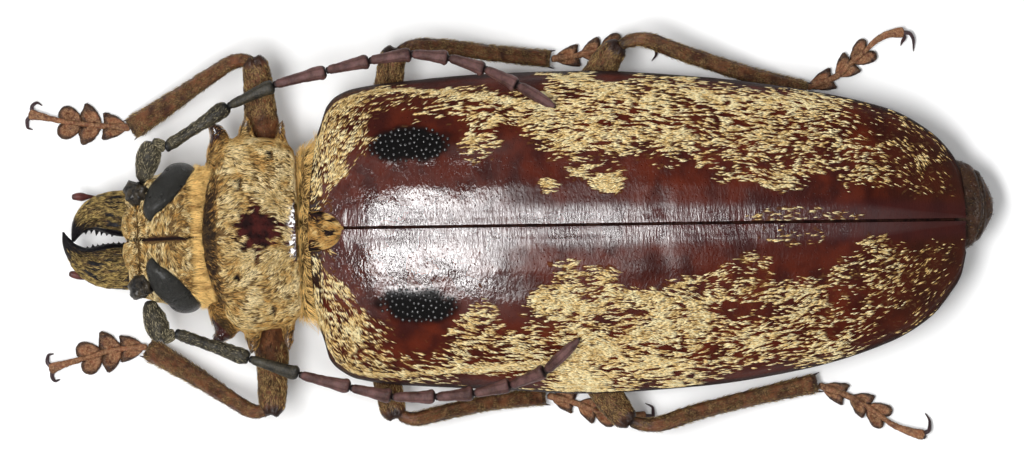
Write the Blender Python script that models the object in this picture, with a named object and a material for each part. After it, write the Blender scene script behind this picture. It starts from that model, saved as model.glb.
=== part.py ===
# A giant longhorn beetle at its real size, lying on its feet with its legs and feelers spread.
# Its head looks along -Y, its right side is at -X, and its feet stand on the plane z = 0.
# Sizes below are in millimetres, and every mesh is made in metres.

import math

import bmesh
import bpy
from mathutils import Matrix, Vector

MM = 0.001
CLEARANCE = 0.32            # air left between two pieces that meet
WELD_DISTANCES = (4e-6, 2e-6, 1e-6, 3e-7, 8e-6, 2e-5)   # metres, tried in turn until a cut piece is closed
RIGHT = -1.0
LEFT = 1.0

# Where the body's lines lie
SUTURE_X = -1.49            # the line where the wing cases meet
WAIST = (-1.23, -18.71)     # the fore body turns about this point
NECK_TURN = 2.0             # degrees, towards the left
FLOOR = 0.0

# Wing cases: place along the body, half width of the right one and of the left one
CASE_OUTLINE = (
    (-20.6, 9.6, 10.2),
    (-20.0, 11.3, 12.0),
    (-19.4, 13.0, 14.1),
    (-18.4, 14.1, 15.2),
    (-16.5, 14.9, 16.2),
    (-12.0, 15.55, 16.9),
    (-1.0, 16.35, 17.55),
    (8.0, 16.5, 18.1),
    (20.0, 15.75, 17.5),
    (32.0, 14.1, 15.7),
    (41.0, 11.95, 12.9),
    (45.2, 9.6, 10.35),
    (47.4, 7.4, 7.75),
    (48.5, 5.4, 5.95),
    (49.05, 2.9, 3.6),
)
# Wing cases: place along the body, height of the crown and of the rim
CASE_HEIGHTS = (
    (-20.6, 16.5, 9.5),
    (-19.0, 17.8, 9.2),
    (-14.0, 19.2, 8.8),
    (0.0, 20.0, 8.6),
    (14.0, 19.8, 8.6),
    (26.0, 18.4, 8.5),
    (36.0, 15.8, 8.2),
    (43.0, 12.6, 7.6),
    (47.0, 10.2, 7.0),
    (49.05, 8.7, 6.6),
)
CASE_STATIONS = 22
CASE_WALL = 1.0
CASE_POWER = 2.4            # how square the dome is
CASE_STEPS = 9
CASE_SEAM = 0.34            # between the two cases
CASE_FRONT_BOW = 0.8        # the front edge runs back towards the shoulders
CASE_BOW_LENGTH = 4.0
UNDER_CASE = CASE_WALL + CLEARANCE + 0.1    # from a case's outer face to the body below it

# Hind body below the wing cases
CHEST_FRONT = -22.3
CHEST_REAR = 5.9
BELLY_REAR = 47.2
CHEST_RINGS = 10
CHEST_INSET = 0.6           # the wide part starts this far behind the front of the cases
BELLY_HEIGHTS = (
    (-22.3, 5.2),
    (-20.0, 3.9),
    (-14.0, 3.2),
    (0.0, 3.0),
    (20.0, 3.0),
    (35.0, 3.4),
    (44.0, 4.2),
    (47.2, 4.7),
)
BELLY_POWER = 1.6
# Hairy neck in front of the wing cases: place, half width, top
COLLAR = ((CHEST_FRONT, 8.6, 14.4), (CHEST_FRONT + 0.7, 9.3, 15.0))
COLLAR_RIM = 10.0
COLLAR_OFFSET = 0.4         # it sits a little to the left of the suture
STERNITE_ENDS = (13.6, 21.4, 29.2, 37.0)
STERNITE_STEP = 0.3

# Tip of the abdomen: place, half width, top and bottom
TIP_X = -2.95
TIP_SHAPE = (
    (47.4, 5.1, 8.0, 4.3),
    (48.8, 4.75, 7.8, 4.2),
    (50.0, 3.95, 7.5, 4.3),
    (51.0, 2.85, 7.1, 4.6),
    (51.7, 1.6, 6.6, 5.0),
    (52.03, 0.6, 6.2, 5.4),
)

# Scutellum: its ends, half width, and the height of its crown at the front and at the tip
SHIELD_ENDS = (-21.5, -17.75)
SHIELD_HALF = 2.1
SHIELD_TOPS = (16.7, 18.1)
SHIELD_DEPTHS = (0.9, 1.35)
SHIELD_OFFSET = 0.3

# Prothorax in the fore body's own lines: place, half width, top, bottom, bow of the section
PRONOTUM = (
    (-32.9, 6.9, 15.5, 5.7, 1.3),
    (-32.3, 7.9, 16.0, 5.2, 1.1),
    (-31.3, 9.2, 16.6, 4.7, 0.8),
    (-30.2, 10.1, 16.9, 4.4, 0.5),
    (-28.6, 10.4, 17.1, 4.2, 0.3),
    (-26.6, 10.2, 17.2, 4.1, 0.1),
    (-24.4, 9.8, 16.9, 4.2, 0.0),
    (-23.0, 9.1, 16.3, 4.8, -0.2),
    (-22.65, 8.4, 15.7, 5.3, -0.2),
)
PRONOTUM_RIM = 10.8
# Spines of the prothorax: middle of the root, tip, radius of the root
SPINES = (
    ((-7.4, -30.4), (-12.05, -31.45), 2.05),
    ((7.4, -30.6), (11.25, -32.2), 2.3),
    ((-9.0, -27.8), (-12.5, -27.6), 1.25),
    ((9.0, -28.1), (12.7, -28.35), 1.25),
    ((-8.6, -24.0), (-12.0, -23.75), 0.8),
    ((8.6, -24.2), (12.55, -24.25), 0.8),
)
SPINE_RISE = 0.4

# Head in the fore body's own lines: place, half width, top, bottom
HEAD = (
    (-31.2, 6.3, 14.4, 6.0),
    (-33.0, 7.1, 15.0, 5.4),
    (-35.0, 7.2, 15.1, 5.1),
    (-37.0, 6.9, 14.6, 5.0),
    (-38.8, 6.4, 13.7, 5.2),
    (-40.1, 5.9, 12.4, 5.6),
    (-40.7, 5.4, 10.9, 6.0),
    (-41.0, 4.7, 10.2, 6.5),
)
HEAD_RIM = 9.6
HEAD_AXIS = 7.6             # the eyes look away from a line at this height
TUBERCLE = (5.15, -39.75, 12.1)
TUBERCLE_SIZE = (1.5, 1.35, 1.25)
# Eye, from the crown round the side of the head: reach, place, height and breadth; the crown's
# heights come from the head
EYE_CROWN = ((2.0, -38.55, 0.9), (3.1, -38.25, 2.0), (4.2, -37.6, 3.0), (5.3, -36.8, 3.4), (6.3, -35.9, 3.4))
EYE_SIDE = (
    (7.15, -35.2, 11.9, 3.4),
    (7.45, -35.1, 10.3, 3.3),
    (7.2, -35.5, 8.7, 2.8),
    (6.6, -36.1, 7.4, 1.5),
)
EYE_DEPTH = 2.0
EYE_SIDES = 10
EYE_SINK = 0.35             # the middle of its sections lies this far below the head's skin
SIDE_STEPS = 5              # steps in a quarter of a body section
# How square each section is above and below its rim
SECTION_POWERS = {
    "collar": (2.2, BELLY_POWER),
    "prothorax": (2.1, 1.8),
    "head": (2.3, 2.1),
    "lip": (2.6, 2.6),
    "shield": (2.0, 2.0),
    "tip": (2.0, 1.9),
}

# Feelers: the joints from the head to the tip, and their heights
FEELER_JOINTS = {
    RIGHT: (
        (-6.7, -39.3), (-11.0, -38.2), (-10.33, -36.8), (-14.7, -30.0), (-16.93, -25.1), (-18.36, -19.44),
        (-19.4, -14.8), (-20.06, -10.3), (-19.6, -6.3), (-18.34, -2.4), (-16.57, 1.05), (-14.05, 5.18),
    ),
    LEFT: (
        (6.1, -38.8), (10.26, -37.44), (9.53, -36.03), (12.38, -28.1), (14.16, -22.8), (15.63, -17.3),
        (16.7, -12.9), (16.78, -8.2), (16.46, -4.1), (15.66, -0.16), (14.2, 3.6), (10.66, 7.4),
    ),
}
FEELER_HEIGHTS = {
    RIGHT: (11.7, 12.3, 12.5, 13.0, 13.3, 13.6, 13.9, 14.2, 14.6, 15.3, 16.6, 18.3),
    LEFT: (11.7, 12.3, 12.5, 13.0, 13.2, 13.4, 13.6, 13.9, 14.3, 14.9, 17.0, 19.2),
}
# Share of a joint's length and radius there
FEELER_SCAPE = ((0.0, 0.95), (0.3, 1.2), (0.68, 1.3), (0.92, 1.05), (1.0, 0.7))
FEELER_PEDICEL = ((0.0, 0.5), (0.4, 0.68), (1.0, 0.6))
FEELER_THIRD = ((0.0, 0.45), (0.12, 0.6), (0.55, 0.66), (0.9, 0.88), (1.0, 0.62))
FEELER_SHAFT = ((0.0, 0.32), (0.1, 0.42), (0.55, 0.57), (0.9, 0.72), (1.0, 0.5))
FEELER_LAST = ((0.0, 0.42), (0.3, 0.58), (0.75, 0.5), (1.0, 0.14))
FEELER_PROFILES = [FEELER_SCAPE, FEELER_PEDICEL, FEELER_THIRD] + [FEELER_SHAFT] * 7 + [FEELER_LAST]

# Legs. Paths run outwards in plan with a height; widths are seen from above.
COXAE = {
    "fore": ((4.7, -26.1, 5.2), (2.7, 1.9, 2.1)),
    "mid": ((5.3, -14.7, 4.2), (2.5, 2.1, 1.9)),
    "hind": ((5.2, 3.4, 4.2), (4.2, 1.6, 1.8)),
}
FEMUR_PATHS = {
    ("fore", RIGHT): (
        (-5.6, -26.1, 5.0), (-8.6, -26.2, 6.0), (-11.9, -26.4, 7.4),
        (-15.3, -26.65, 8.8), (-18.9, -26.95, 10.2), (-19.8, -27.1, 10.5),
    ),
    ("fore", LEFT): (
        (4.6, -26.1, 5.0), (7.4, -26.0, 5.9), (10.6, -25.8, 7.2),
        (14.0, -25.65, 8.7), (17.4, -25.7, 10.2), (18.3, -25.8, 10.5),
    ),
    ("mid", RIGHT): (
        (-7.5, -14.4, 3.7), (-10.4, -13.9, 4.4), (-13.6, -13.4, 5.2),
        (-16.8, -12.8, 6.5), (-19.6, -12.3, 7.8), (-20.6, -12.1, 8.1),
    ),
    ("mid", LEFT): (
        (4.5, -14.7, 3.7), (7.4, -14.5, 4.3), (10.8, -14.1, 5.0),
        (14.4, -13.5, 6.2), (17.9, -12.8, 7.8), (18.9, -12.6, 8.1),
    ),
    ("hind", RIGHT): (
        (-8.2, 4.3, 3.7), (-11.4, 6.1, 4.4), (-14.6, 8.0, 5.3),
        (-17.7, 9.8, 6.6), (-20.1, 11.4, 7.8), (-20.8, 12.0, 8.1),
    ),
    ("hind", LEFT): (
        (5.2, 4.2, 3.7), (8.6, 5.7, 4.4), (12.6, 7.8, 5.3),
        (16.4, 10.0, 6.6), (19.2, 12.0, 7.8), (19.9, 12.6, 8.1),
    ),
}
FEMUR_WIDTHS = {
    "fore": (2.0, 3.3, 3.7, 3.25, 2.85, 1.9),
    "mid": (1.9, 2.9, 3.2, 3.0, 2.8, 2.1),
    "hind": (1.9, 3.1, 3.5, 3.3, 2.8, 1.9),
}
FEMUR_FLATNESS = 0.68
TIBIA_PATHS = {
    ("fore", RIGHT): (
        (-19.5, -27.4, 10.4), (-19.7, -28.9, 9.8), (-18.6, -31.0, 8.6),
        (-15.9, -35.2, 5.3), (-12.75, -40.2, 1.75),
    ),
    ("fore", LEFT): (
        (17.9, -26.1, 10.4), (18.2, -27.5, 9.9), (17.2, -29.4, 8.7), (14.6, -33.4, 5.4), (11.4, -38.7, 1.75),
    ),
    ("mid", RIGHT): (
        (-20.2, -11.7, 8.1), (-21.0, -10.2, 8.2), (-20.85, -7.2, 7.2), (-20.1, -1.6, 4.2), (-19.45, 4.2, 1.6),
    ),
    ("mid", LEFT): (
        (18.6, -12.1, 8.1), (19.2, -10.8, 8.2), (18.5, -7.4, 7.0), (17.4, -1.4, 4.0), (17.0, 3.2, 1.6),
    ),
    ("hind", RIGHT): (
        (-20.8, 12.3, 8.2), (-21.45, 14.0, 8.3), (-20.0, 18.3, 7.2), (-17.6, 25.4, 4.3), (-15.65, 31.7, 1.7),
    ),
    ("hind", LEFT): (
        (19.8, 12.9, 8.2), (20.2, 14.8, 8.2), (19.0, 19.2, 7.0), (17.3, 26.2, 4.1), (16.0, 32.5, 1.7),
    ),
}
TIBIA_WIDTHS = {
    "fore": (1.3, 1.55, 1.65, 1.95, 2.5),
    "mid": (1.2, 1.45, 1.6, 1.7, 1.8),
    "hind": (1.3, 1.55, 1.7, 1.75, 2.1),
}
TIBIA_FLATNESS = 0.7
SPUR_LENGTH = 1.3
SPUR_RADII = (0.26, 0.07)
SPUR_ROOT = 0.3
SPUR_SPLAY = 0.45
SPUR_FLOOR = 0.5            # no spur tip comes lower than this
# Feet: ends of the three lobed joints, then the claw joint's root, middle and end
TARSUS_PATHS = {
    ("fore", RIGHT): (
        (-12.65, -40.9), (-12.85, -43.75), (-13.1, -45.9), (-13.2, -46.9), (-13.75, -49.5), (-14.2, -51.5),
    ),
    ("fore", LEFT): (
        (11.05, -39.35), (11.2, -41.9), (11.6, -44.1), (11.95, -45.1), (12.6, -47.6), (13.25, -49.7),
    ),
    ("mid", RIGHT): (
        (-19.4, 4.9), (-19.8, 7.8), (-20.35, 10.0), (-20.6, 11.0), (-21.0, 13.6), (-21.1, 15.6),
    ),
    ("mid", LEFT): (
        (16.9, 4.0), (17.75, 6.95), (18.5, 8.8), (18.8, 9.8), (19.2, 12.2), (19.25, 14.3),
    ),
    ("hind", RIGHT): (
        (-16.0, 32.3), (-17.05, 35.4), (-18.55, 37.1), (-19.5, 38.3), (-21.5, 40.8), (-21.8, 42.7),
    ),
    ("hind", LEFT): (
        (16.2, 33.2), (17.4, 36.35), (18.45, 38.2), (19.3, 39.4), (20.9, 41.7), (21.7, 44.3),
    ),
}
# Lobes of the first three foot joints: length, width and splay in degrees. The hinder feet are
# rolled on their sides, so their lobes look narrower from above.
TARSUS_LOBES = {
    "fore": ((2.9, 1.25, 17.0), (2.75, 1.7, 33.0), (2.9, 1.9, 27.0)),
    "mid": ((2.9, 1.1, 13.0), (2.6, 1.2, 18.0), (2.75, 1.35, 20.0)),
    "hind": ((3.0, 1.1, 12.0), (2.6, 1.2, 18.0), (2.95, 1.35, 21.0)),
}
LOBE_SIDES = 9
LOBE_LAYERS = ((0.0, 0.82), (0.3, 1.0), (0.7, 0.86), (0.95, 0.45))     # height and share of the outline
LOBE_TAPER = 0.25
FOOT_STEM = ((0.85, 0.45), (0.6, 0.42), (0.6, 0.42), (0.6, 0.4))       # height and radius at each joint
CLAW_JOINT = ((0.75, 0.34), (1.05, 0.34), (1.25, 0.42), (0.95, 0.6))
# Claws of each foot: three places after the root, each ahead of the claw joint's end and aside of it
CLAW_PATHS = {
    ("fore", RIGHT): (((0.0, -0.8), (-0.45, -1.4), (-1.05, -1.2)), ((0.2, 0.75), (0.0, 1.45), (-0.6, 1.55))),
    ("fore", LEFT): (((0.1, -0.85), (-0.3, -1.5), (-0.85, -1.4)), ((0.1, 0.8), (-0.1, 1.45), (-0.65, 1.4))),
    ("mid", RIGHT): (((0.4, -0.5), (0.45, -1.3), (-0.1, -2.05)), ((0.35, 0.2), (0.1, 0.35), (-0.35, 0.25))),
    ("mid", LEFT): (((0.95, 0.0), (0.9, 0.9), (0.05, 1.4)), ((0.3, -0.3), (0.1, 0.0), (-0.35, 0.3))),
    ("hind", RIGHT): (((0.65, -0.2), (1.0, -1.15), (0.8, -2.25)), ((0.1, -0.6), (-0.2, -1.0), (-0.45, -1.4))),
    ("hind", LEFT): (((0.5, 0.7), (0.3, 1.6), (-0.45, 2.35)), ((0.3, -0.2), (0.1, 0.1), (-0.35, 0.3))),
}
CLAW_HEIGHTS = ((0.95, 0.9, 0.62, 0.3), (0.75, 0.6, 0.42, 0.2))
CLAW_RADII = (0.3, 0.27, 0.2, 0.08)
CLAW_ROOT = 0.3

# Mouth parts in the fore body's own lines
JAW_PATHS = {
    RIGHT: (
        (-2.85, -39.6, 8.0), (-2.9, -41.4, 8.0), (-3.05, -42.9, 7.8), (-3.0, -44.1, 7.5),
        (-2.7, -45.1, 7.2), (-2.0, -46.0, 6.9), (-1.1, -46.6, 6.7), (-0.2, -46.95, 6.6),
    ),
    LEFT: (
        (2.8, -39.6, 8.0), (2.75, -41.4, 8.0), (2.65, -42.9, 7.9), (2.5, -44.1, 7.9), (2.2, -45.2, 7.9),
        (1.6, -46.3, 8.0), (0.6, -47.2, 8.1), (-0.5, -47.75, 8.1), (-1.25, -47.95, 8.05),
    ),
}
JAW_WIDTHS = {
    RIGHT: (4.9, 5.1, 4.7, 4.0, 3.2, 2.1, 1.2, 0.35),
    LEFT: (4.9, 5.1, 5.1, 4.7, 3.9, 2.7, 1.6, 0.85, 0.3),
}
JAW_FLATNESS = 0.8
# Inner teeth: where each leaves the jaw's edge
JAW_TEETH = {
    RIGHT: (
        (-0.75, -42.0, 7.8), (-0.95, -43.1, 7.6), (-1.2, -44.1, 7.4), (-1.45, -45.1, 7.2), (-1.2, -45.9, 7.0),
    ),
    LEFT: (
        (0.35, -41.9, 7.9), (0.3, -42.9, 7.9), (0.4, -43.8, 7.9), (0.55, -44.7, 7.9), (0.7, -45.6, 7.9),
    ),
}
TOOTH_LENGTH = 0.75
TOOTH_ROOT = 0.45           # how deep a tooth starts inside the jaw
TOOTH_RADII = (0.42, 0.08)
TOOTH_LEAN = 0.2
# Upper lip: place, half width and top
LABRUM = ((-40.0, 3.6, 13.0), (-40.6, 3.4, 12.3), (-41.15, 2.9, 11.7), (-41.5, 2.0, 11.2))
LABRUM_DEPTHS = (0.5, 1.1)
OUTER_PALPS = {
    RIGHT: (
        (-3.4, -39.9, 5.2), (-4.2, -42.0, 4.2), (-4.9, -44.3, 4.2),
        (-4.9, -44.9, 4.3), (-4.95, -45.9, 4.5), (-5.0, -46.8, 4.7),
    ),
    LEFT: (
        (3.4, -39.9, 5.2), (3.9, -42.0, 4.2), (4.0, -44.5, 4.2),
        (3.8, -45.3, 4.3), (3.5, -46.5, 4.5), (3.25, -47.5, 4.7),
    ),
}
OUTER_PALP_RADII = (0.5, 0.4, 0.28, 0.38, 0.48, 0.3)
INNER_PALP = ((1.3, -40.1, 5.3), (1.5, -41.6, 4.1), (1.8, -43.2, 3.9), (1.9, -44.6, 4.0))
INNER_PALP_RADII = (0.45, 0.32, 0.42, 0.28)

# Finishes: colour, roughness
FINISHES = {
    "mahogany": ((0.16, 0.035, 0.02, 1.0), 0.3),
    "golden_fur": ((0.55, 0.38, 0.17, 1.0), 0.8),
    "golden_brown": ((0.38, 0.25, 0.12, 1.0), 0.7),
    "eye_black": ((0.02, 0.02, 0.022, 1.0), 0.25),
    "jaw_black": ((0.06, 0.045, 0.03, 1.0), 0.35),
    "palp_red": ((0.25, 0.07, 0.05, 1.0), 0.4),
    "feeler_brown": ((0.12, 0.06, 0.06, 1.0), 0.45),
    "leg_brown": ((0.22, 0.11, 0.06, 1.0), 0.5),
    "foot_brown": ((0.36, 0.16, 0.09, 1.0), 0.5),
    "belly_brown": ((0.13, 0.05, 0.03, 1.0), 0.45),
}


# Scene and materials

def clear_scene():
    for thing in list(bpy.data.objects):
        bpy.data.objects.remove(thing, do_unlink=True)


def new_collection(name):
    group = bpy.data.collections.new(name)
    bpy.context.scene.collection.children.link(group)
    return group


def finish_material(finish):
    material = bpy.data.materials.get(finish)
    if material is None:
        colour, roughness = FINISHES[finish]
        material = bpy.data.materials.new(finish)
        material.use_nodes = True
        shader = material.node_tree.nodes["Principled BSDF"]
        shader.inputs["Base Color"].default_value = colour
        shader.inputs["Roughness"].default_value = roughness
        shader.inputs["Metallic"].default_value = 0.0
    return material


# Numbers

def smooth_value(knots, column, place):
    """A smooth curve through the knots' column that never overshoots them."""
    places = [knot[0] for knot in knots]
    values = [knot[column] for knot in knots]
    if place <= places[0]:
        return values[0]
    if place >= places[-1]:
        return values[-1]
    slopes = [(values[k + 1] - values[k]) / (places[k + 1] - places[k]) for k in range(len(places) - 1)]

    def tangent(k):
        if k == 0:
            return slopes[0]
        if k == len(slopes):
            return slopes[-1]
        before, after = slopes[k - 1], slopes[k]
        if before * after <= 0.0:
            return 0.0
        return 2.0 * before * after / (before + after)

    k = max(index for index, knot in enumerate(places[:-1]) if knot <= place)
    span = places[k + 1] - places[k]
    t = (place - places[k]) / span
    return (
        values[k] * (1 + 2 * t) * (1 - t) ** 2
        + tangent(k) * span * t * (1 - t) ** 2
        + values[k + 1] * t * t * (3 - 2 * t)
        + tangent(k + 1) * span * t * t * (t - 1)
    )


def dome_point(half, rise, power, share):
    """Reach and height on a quarter dome, from its crown at share 0 to its rim at share 1."""
    turn = share * math.pi / 2
    return half * math.sin(turn) ** (2 / power), rise * max(math.cos(turn), 0.0) ** (2 / power)


def turned_forebody(point):
    """A point of the fore body's own lines, set where the turned fore body has it."""
    turn = math.radians(NECK_TURN)
    across, along = point[0], point[1] - WAIST[1]
    x = WAIST[0] + across * math.cos(turn) - along * math.sin(turn)
    y = WAIST[1] + across * math.sin(turn) + along * math.cos(turn)
    return (x, y, point[2])


def as_placed(point):
    return point


# Meshes

def object_from(name, bm):
    bmesh.ops.recalc_face_normals(bm, faces=bm.faces)
    mesh = bpy.data.meshes.new(name)
    bm.to_mesh(mesh)
    bm.free()
    piece = bpy.data.objects.new(name, mesh)
    workshop.objects.link(piece)
    return piece


def loft(name, rings, place=as_placed, hollow=False):
    """A closed skin over rings of equal count. A hollow one's rings run out and back along two faces."""
    bm = bmesh.new()
    layers = []
    for ring in rings:
        layers.append([bm.verts.new(Vector(place(point)) * MM) for point in ring])
    count = len(layers[0])
    for lower, upper in zip(layers, layers[1:]):
        for k in range(count):
            after = (k + 1) % count
            bm.faces.new((lower[k], lower[after], upper[after], upper[k]))
    for layer in (layers[0], layers[-1]):
        if hollow:
            for k in range(count // 2 - 1):
                bm.faces.new((layer[k], layer[k + 1], layer[count - 2 - k], layer[count - 1 - k]))
        else:
            bm.faces.new(layer)
    return object_from(name, bm)


def limb(name, path, widths, flatness, sides=8, place=as_placed):
    """A leg piece of flat oval sections set square to its path, with rounded ends."""
    points = [Vector(place(point)) for point in path]
    rings = []
    for k, point in enumerate(points):
        before = points[max(k - 1, 0)]
        after = points[min(k + 1, len(points) - 1)]
        forward = (after - before).normalized()
        across = Vector((0, 0, 1)).cross(forward).normalized()
        upward = forward.cross(across)
        half = widths[k] / 2
        for pull, share in end_rounding(k, len(points), half):
            ring = []
            for side in range(sides):
                turn = 2 * math.pi * (side + 0.5) / sides
                offset = across * math.cos(turn) + upward * math.sin(turn) * flatness
                ring.append(point + forward * pull + offset * half * share)
            rings.append(ring)
    return loft(name, rings)


def end_rounding(k, count, half):
    """The extra small ring that rounds off a limb's first and last section."""
    if k == 0:
        return ((-0.35 * half, 0.6), (0.0, 1.0))
    if k == count - 1:
        return ((0.0, 1.0), (0.35 * half, 0.6))
    return ((0.0, 1.0),)


def tube(name, path, radii, place=as_placed, rounds=2):
    """A round piece of changing radius along its path."""
    curve = bpy.data.curves.new(name, "CURVE")
    curve.dimensions = "3D"
    curve.bevel_depth = MM
    curve.bevel_resolution = rounds
    curve.use_fill_caps = True
    spline = curve.splines.new("POLY")
    spline.points.add(len(path) - 1)
    for point, where, radius in zip(spline.points, path, radii):
        point.co = (*(Vector(place(where)) * MM), 1.0)
        point.radius = radius
    guide = bpy.data.objects.new(name, curve)
    workshop.objects.link(guide)
    bpy.context.view_layer.update()
    mesh = bpy.data.meshes.new_from_object(guide.evaluated_get(bpy.context.evaluated_depsgraph_get()))
    bpy.data.objects.remove(guide, do_unlink=True)
    bm = bmesh.new()
    bm.from_mesh(mesh)
    bmesh.ops.remove_doubles(bm, verts=bm.verts, dist=1e-6)
    return object_from(name, bm)


def ball(name, centre, radii, place=as_placed, segments=14, rings=8):
    bm = bmesh.new()
    bmesh.ops.create_uvsphere(bm, u_segments=segments, v_segments=rings, radius=1.0)
    bmesh.ops.scale(bm, verts=bm.verts, vec=Vector(radii) * MM)
    bmesh.ops.translate(bm, verts=bm.verts, vec=Vector(place(centre)) * MM)
    return object_from(name, bm)


def spike(name, root, tip, radius, tip_radius=0.1, sides=8):
    """A cone from its root's middle to its tip."""
    root, tip = Vector(root), Vector(tip)
    axis = tip - root
    bm = bmesh.new()
    bmesh.ops.create_cone(
        bm,
        cap_ends=True,
        segments=sides,
        radius1=radius * MM,
        radius2=tip_radius * MM,
        depth=axis.length * MM,
    )
    turn = Vector((0, 0, 1)).rotation_difference(axis.normalized()).to_matrix().to_4x4()
    middle = (root + tip) / 2 * MM
    bmesh.ops.transform(bm, verts=bm.verts, matrix=Matrix.Translation(middle) @ turn)
    return object_from(name, bm)


def settle_modifiers(piece):
    """Keeps what the modifiers make as the piece's own mesh."""
    bpy.context.view_layer.update()
    mesh = bpy.data.meshes.new_from_object(piece.evaluated_get(bpy.context.evaluated_depsgraph_get()))
    piece.modifiers.clear()
    piece.data = mesh


def is_closed(bm):
    return all(len(edge.link_faces) == 2 for edge in bm.edges)


def islands_of(bm):
    """The mesh's separate surfaces, each with its volume, the largest first."""
    unseen = set(bm.faces)
    islands = []
    while unseen:
        seed = unseen.pop()
        island, edge_on = [seed], [seed]
        while edge_on:
            face = edge_on.pop()
            for edge in face.edges:
                for other in edge.link_faces:
                    if other in unseen:
                        unseen.remove(other)
                        island.append(other)
                        edge_on.append(other)
        volume = sum(face.verts[0].co.dot(face.verts[1].co.cross(face.verts[2].co)) / 6 for face in island)
        islands.append((abs(volume), island))
    return sorted(islands, key=lambda entry: entry[0], reverse=True)


def keep_largest(piece):
    """Drops loose scraps and sealed hollows, and leaves clean triangles."""
    for weld in WELD_DISTANCES:
        bm = bmesh.new()
        bm.from_mesh(piece.data)
        bmesh.ops.remove_doubles(bm, verts=bm.verts, dist=weld)
        bmesh.ops.dissolve_degenerate(bm, edges=bm.edges, dist=weld)
        bmesh.ops.triangulate(bm, faces=bm.faces)
        for _, island in islands_of(bm)[1:]:
            bmesh.ops.delete(bm, geom=island, context="FACES")
        loose = [vert for vert in bm.verts if not vert.link_faces]
        bmesh.ops.delete(bm, geom=loose, context="VERTS")
        closed = len(bm.faces) > 0 and is_closed(bm)
        if closed:
            bm.to_mesh(piece.data)
        bm.free()
        if closed:
            return True
    return False


def apply_boolean(piece, operation, other):
    """Joins or cuts the piece, by the second solver where the first leaves it open."""
    whole = piece.data
    for solver in ("EXACT", "MANIFOLD"):
        piece.data = whole
        boolean = piece.modifiers.new("Boolean", "BOOLEAN")
        boolean.operation = operation
        boolean.solver = solver
        if isinstance(other, bpy.types.Collection):
            boolean.operand_type = "COLLECTION"
            boolean.collection = other
        else:
            boolean.object = other
        settle_modifiers(piece)
        if keep_largest(piece):
            break


def joined(name, pieces):
    """One closed body of several closed pieces."""
    base = pieces[0]
    base.name = name
    group = new_collection(name + "_pieces")
    for piece in pieces[1:]:
        workshop.objects.unlink(piece)
        group.objects.link(piece)
    apply_boolean(base, "UNION", group)
    for piece in pieces[1:]:
        bpy.data.objects.remove(piece, do_unlink=True)
    bpy.data.collections.remove(group)
    return base


def swollen_copy(piece, room):
    """A copy whose every face is moved out, to cut a neighbour back by."""
    cutter = piece.copy()
    cutter.data = piece.data.copy()
    cutters.objects.link(cutter)
    cutter.hide_render = True
    cutter.display_type = "WIRE"
    swell = cutter.modifiers.new("Clearance", "DISPLACE")
    swell.mid_level = 0.0
    swell.strength = room * MM
    settle_modifiers(cutter)
    return cutter


def cut_clear(piece, *neighbours, room=CLEARANCE):
    """Cuts the piece back so that air is left between it and each neighbour."""
    for neighbour in neighbours:
        cutter = swollen_copy(neighbour, room)
        apply_boolean(piece, "DIFFERENCE", cutter)
        bpy.data.objects.remove(cutter, do_unlink=True)
    return piece


def finished(piece, name, finish, smooth_angle=50.0):
    """Moves a piece into the beetle's own collection with its name, finish and shading."""
    piece.name = name
    piece.data.name = name
    piece.data.materials.clear()
    piece.data.materials.append(finish_material(finish))
    piece.data.shade_smooth()
    piece.data.set_sharp_from_angle(angle=math.radians(smooth_angle))
    workshop.objects.unlink(piece)
    beetle.objects.link(piece)
    return piece


# Body sections

def body_ring(
    y, right, left, top, rim, bottom, upper_power, lower_power, centre=0.0, bow=0.0, steps=SIDE_STEPS
):
    """A closed section across the body: crown, left rim, underside, right rim and back."""
    ring = []

    def add(reach, half, height):
        side = reach / half
        ring.append((centre + reach, y + bow * side * side, height))

    for k in range(steps):
        reach, rise = dome_point(left, top - rim, upper_power, k / steps)
        add(reach, left, rim + rise)
    for k in range(steps):
        reach, drop = dome_point(left, rim - bottom, lower_power, 1 - k / steps)
        add(reach, left, rim - drop)
    for k in range(steps):
        reach, drop = dome_point(right, rim - bottom, lower_power, k / steps)
        add(-reach, right, rim - drop)
    for k in range(steps):
        reach, rise = dome_point(right, top - rim, upper_power, 1 - k / steps)
        add(-reach, right, rim + rise)
    return ring


def case_place(share):
    """Place along the wing case, with the sections closer together at both ends."""
    first, last = CASE_OUTLINE[0][0], CASE_OUTLINE[-1][0]
    eased = 0.5 - 0.5 * math.cos(math.pi * share)
    return first + (last - first) * (0.25 * share + 0.75 * eased)


# Sub-parts of the hind body

def make_case(side):
    """One wing case: a domed shell from the seam to its outer rim, open below."""
    column = 1 if side == RIGHT else 2
    rings = []
    for station in range(CASE_STATIONS + 1):
        y = case_place(station / CASE_STATIONS)
        half = smooth_value(CASE_OUTLINE, column, y)
        crown = smooth_value(CASE_HEIGHTS, 1, y)
        rim = smooth_value(CASE_HEIGHTS, 2, y)
        front = max(0.0, 1 - (y - CASE_OUTLINE[0][0]) / CASE_BOW_LENGTH)
        width, rise = half - CASE_SEAM / 2, crown - rim
        outer, inner = [], []
        for k in range(CASE_STEPS + 1):
            share = k / CASE_STEPS
            reach, height = dome_point(width, rise, CASE_POWER, share)
            inner_reach, inner_height = dome_point(width - CASE_WALL, rise - CASE_WALL, CASE_POWER, share)
            back = y - CASE_FRONT_BOW * front * (1 - (reach / half) ** 2)
            outer.append((SUTURE_X + side * (CASE_SEAM / 2 + reach), back, rim + height))
            inner.append((SUTURE_X + side * (CASE_SEAM / 2 + inner_reach), back, rim + inner_height))
        rings.append(outer + inner[::-1])
    return loft("case", rings, hollow=True)


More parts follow.
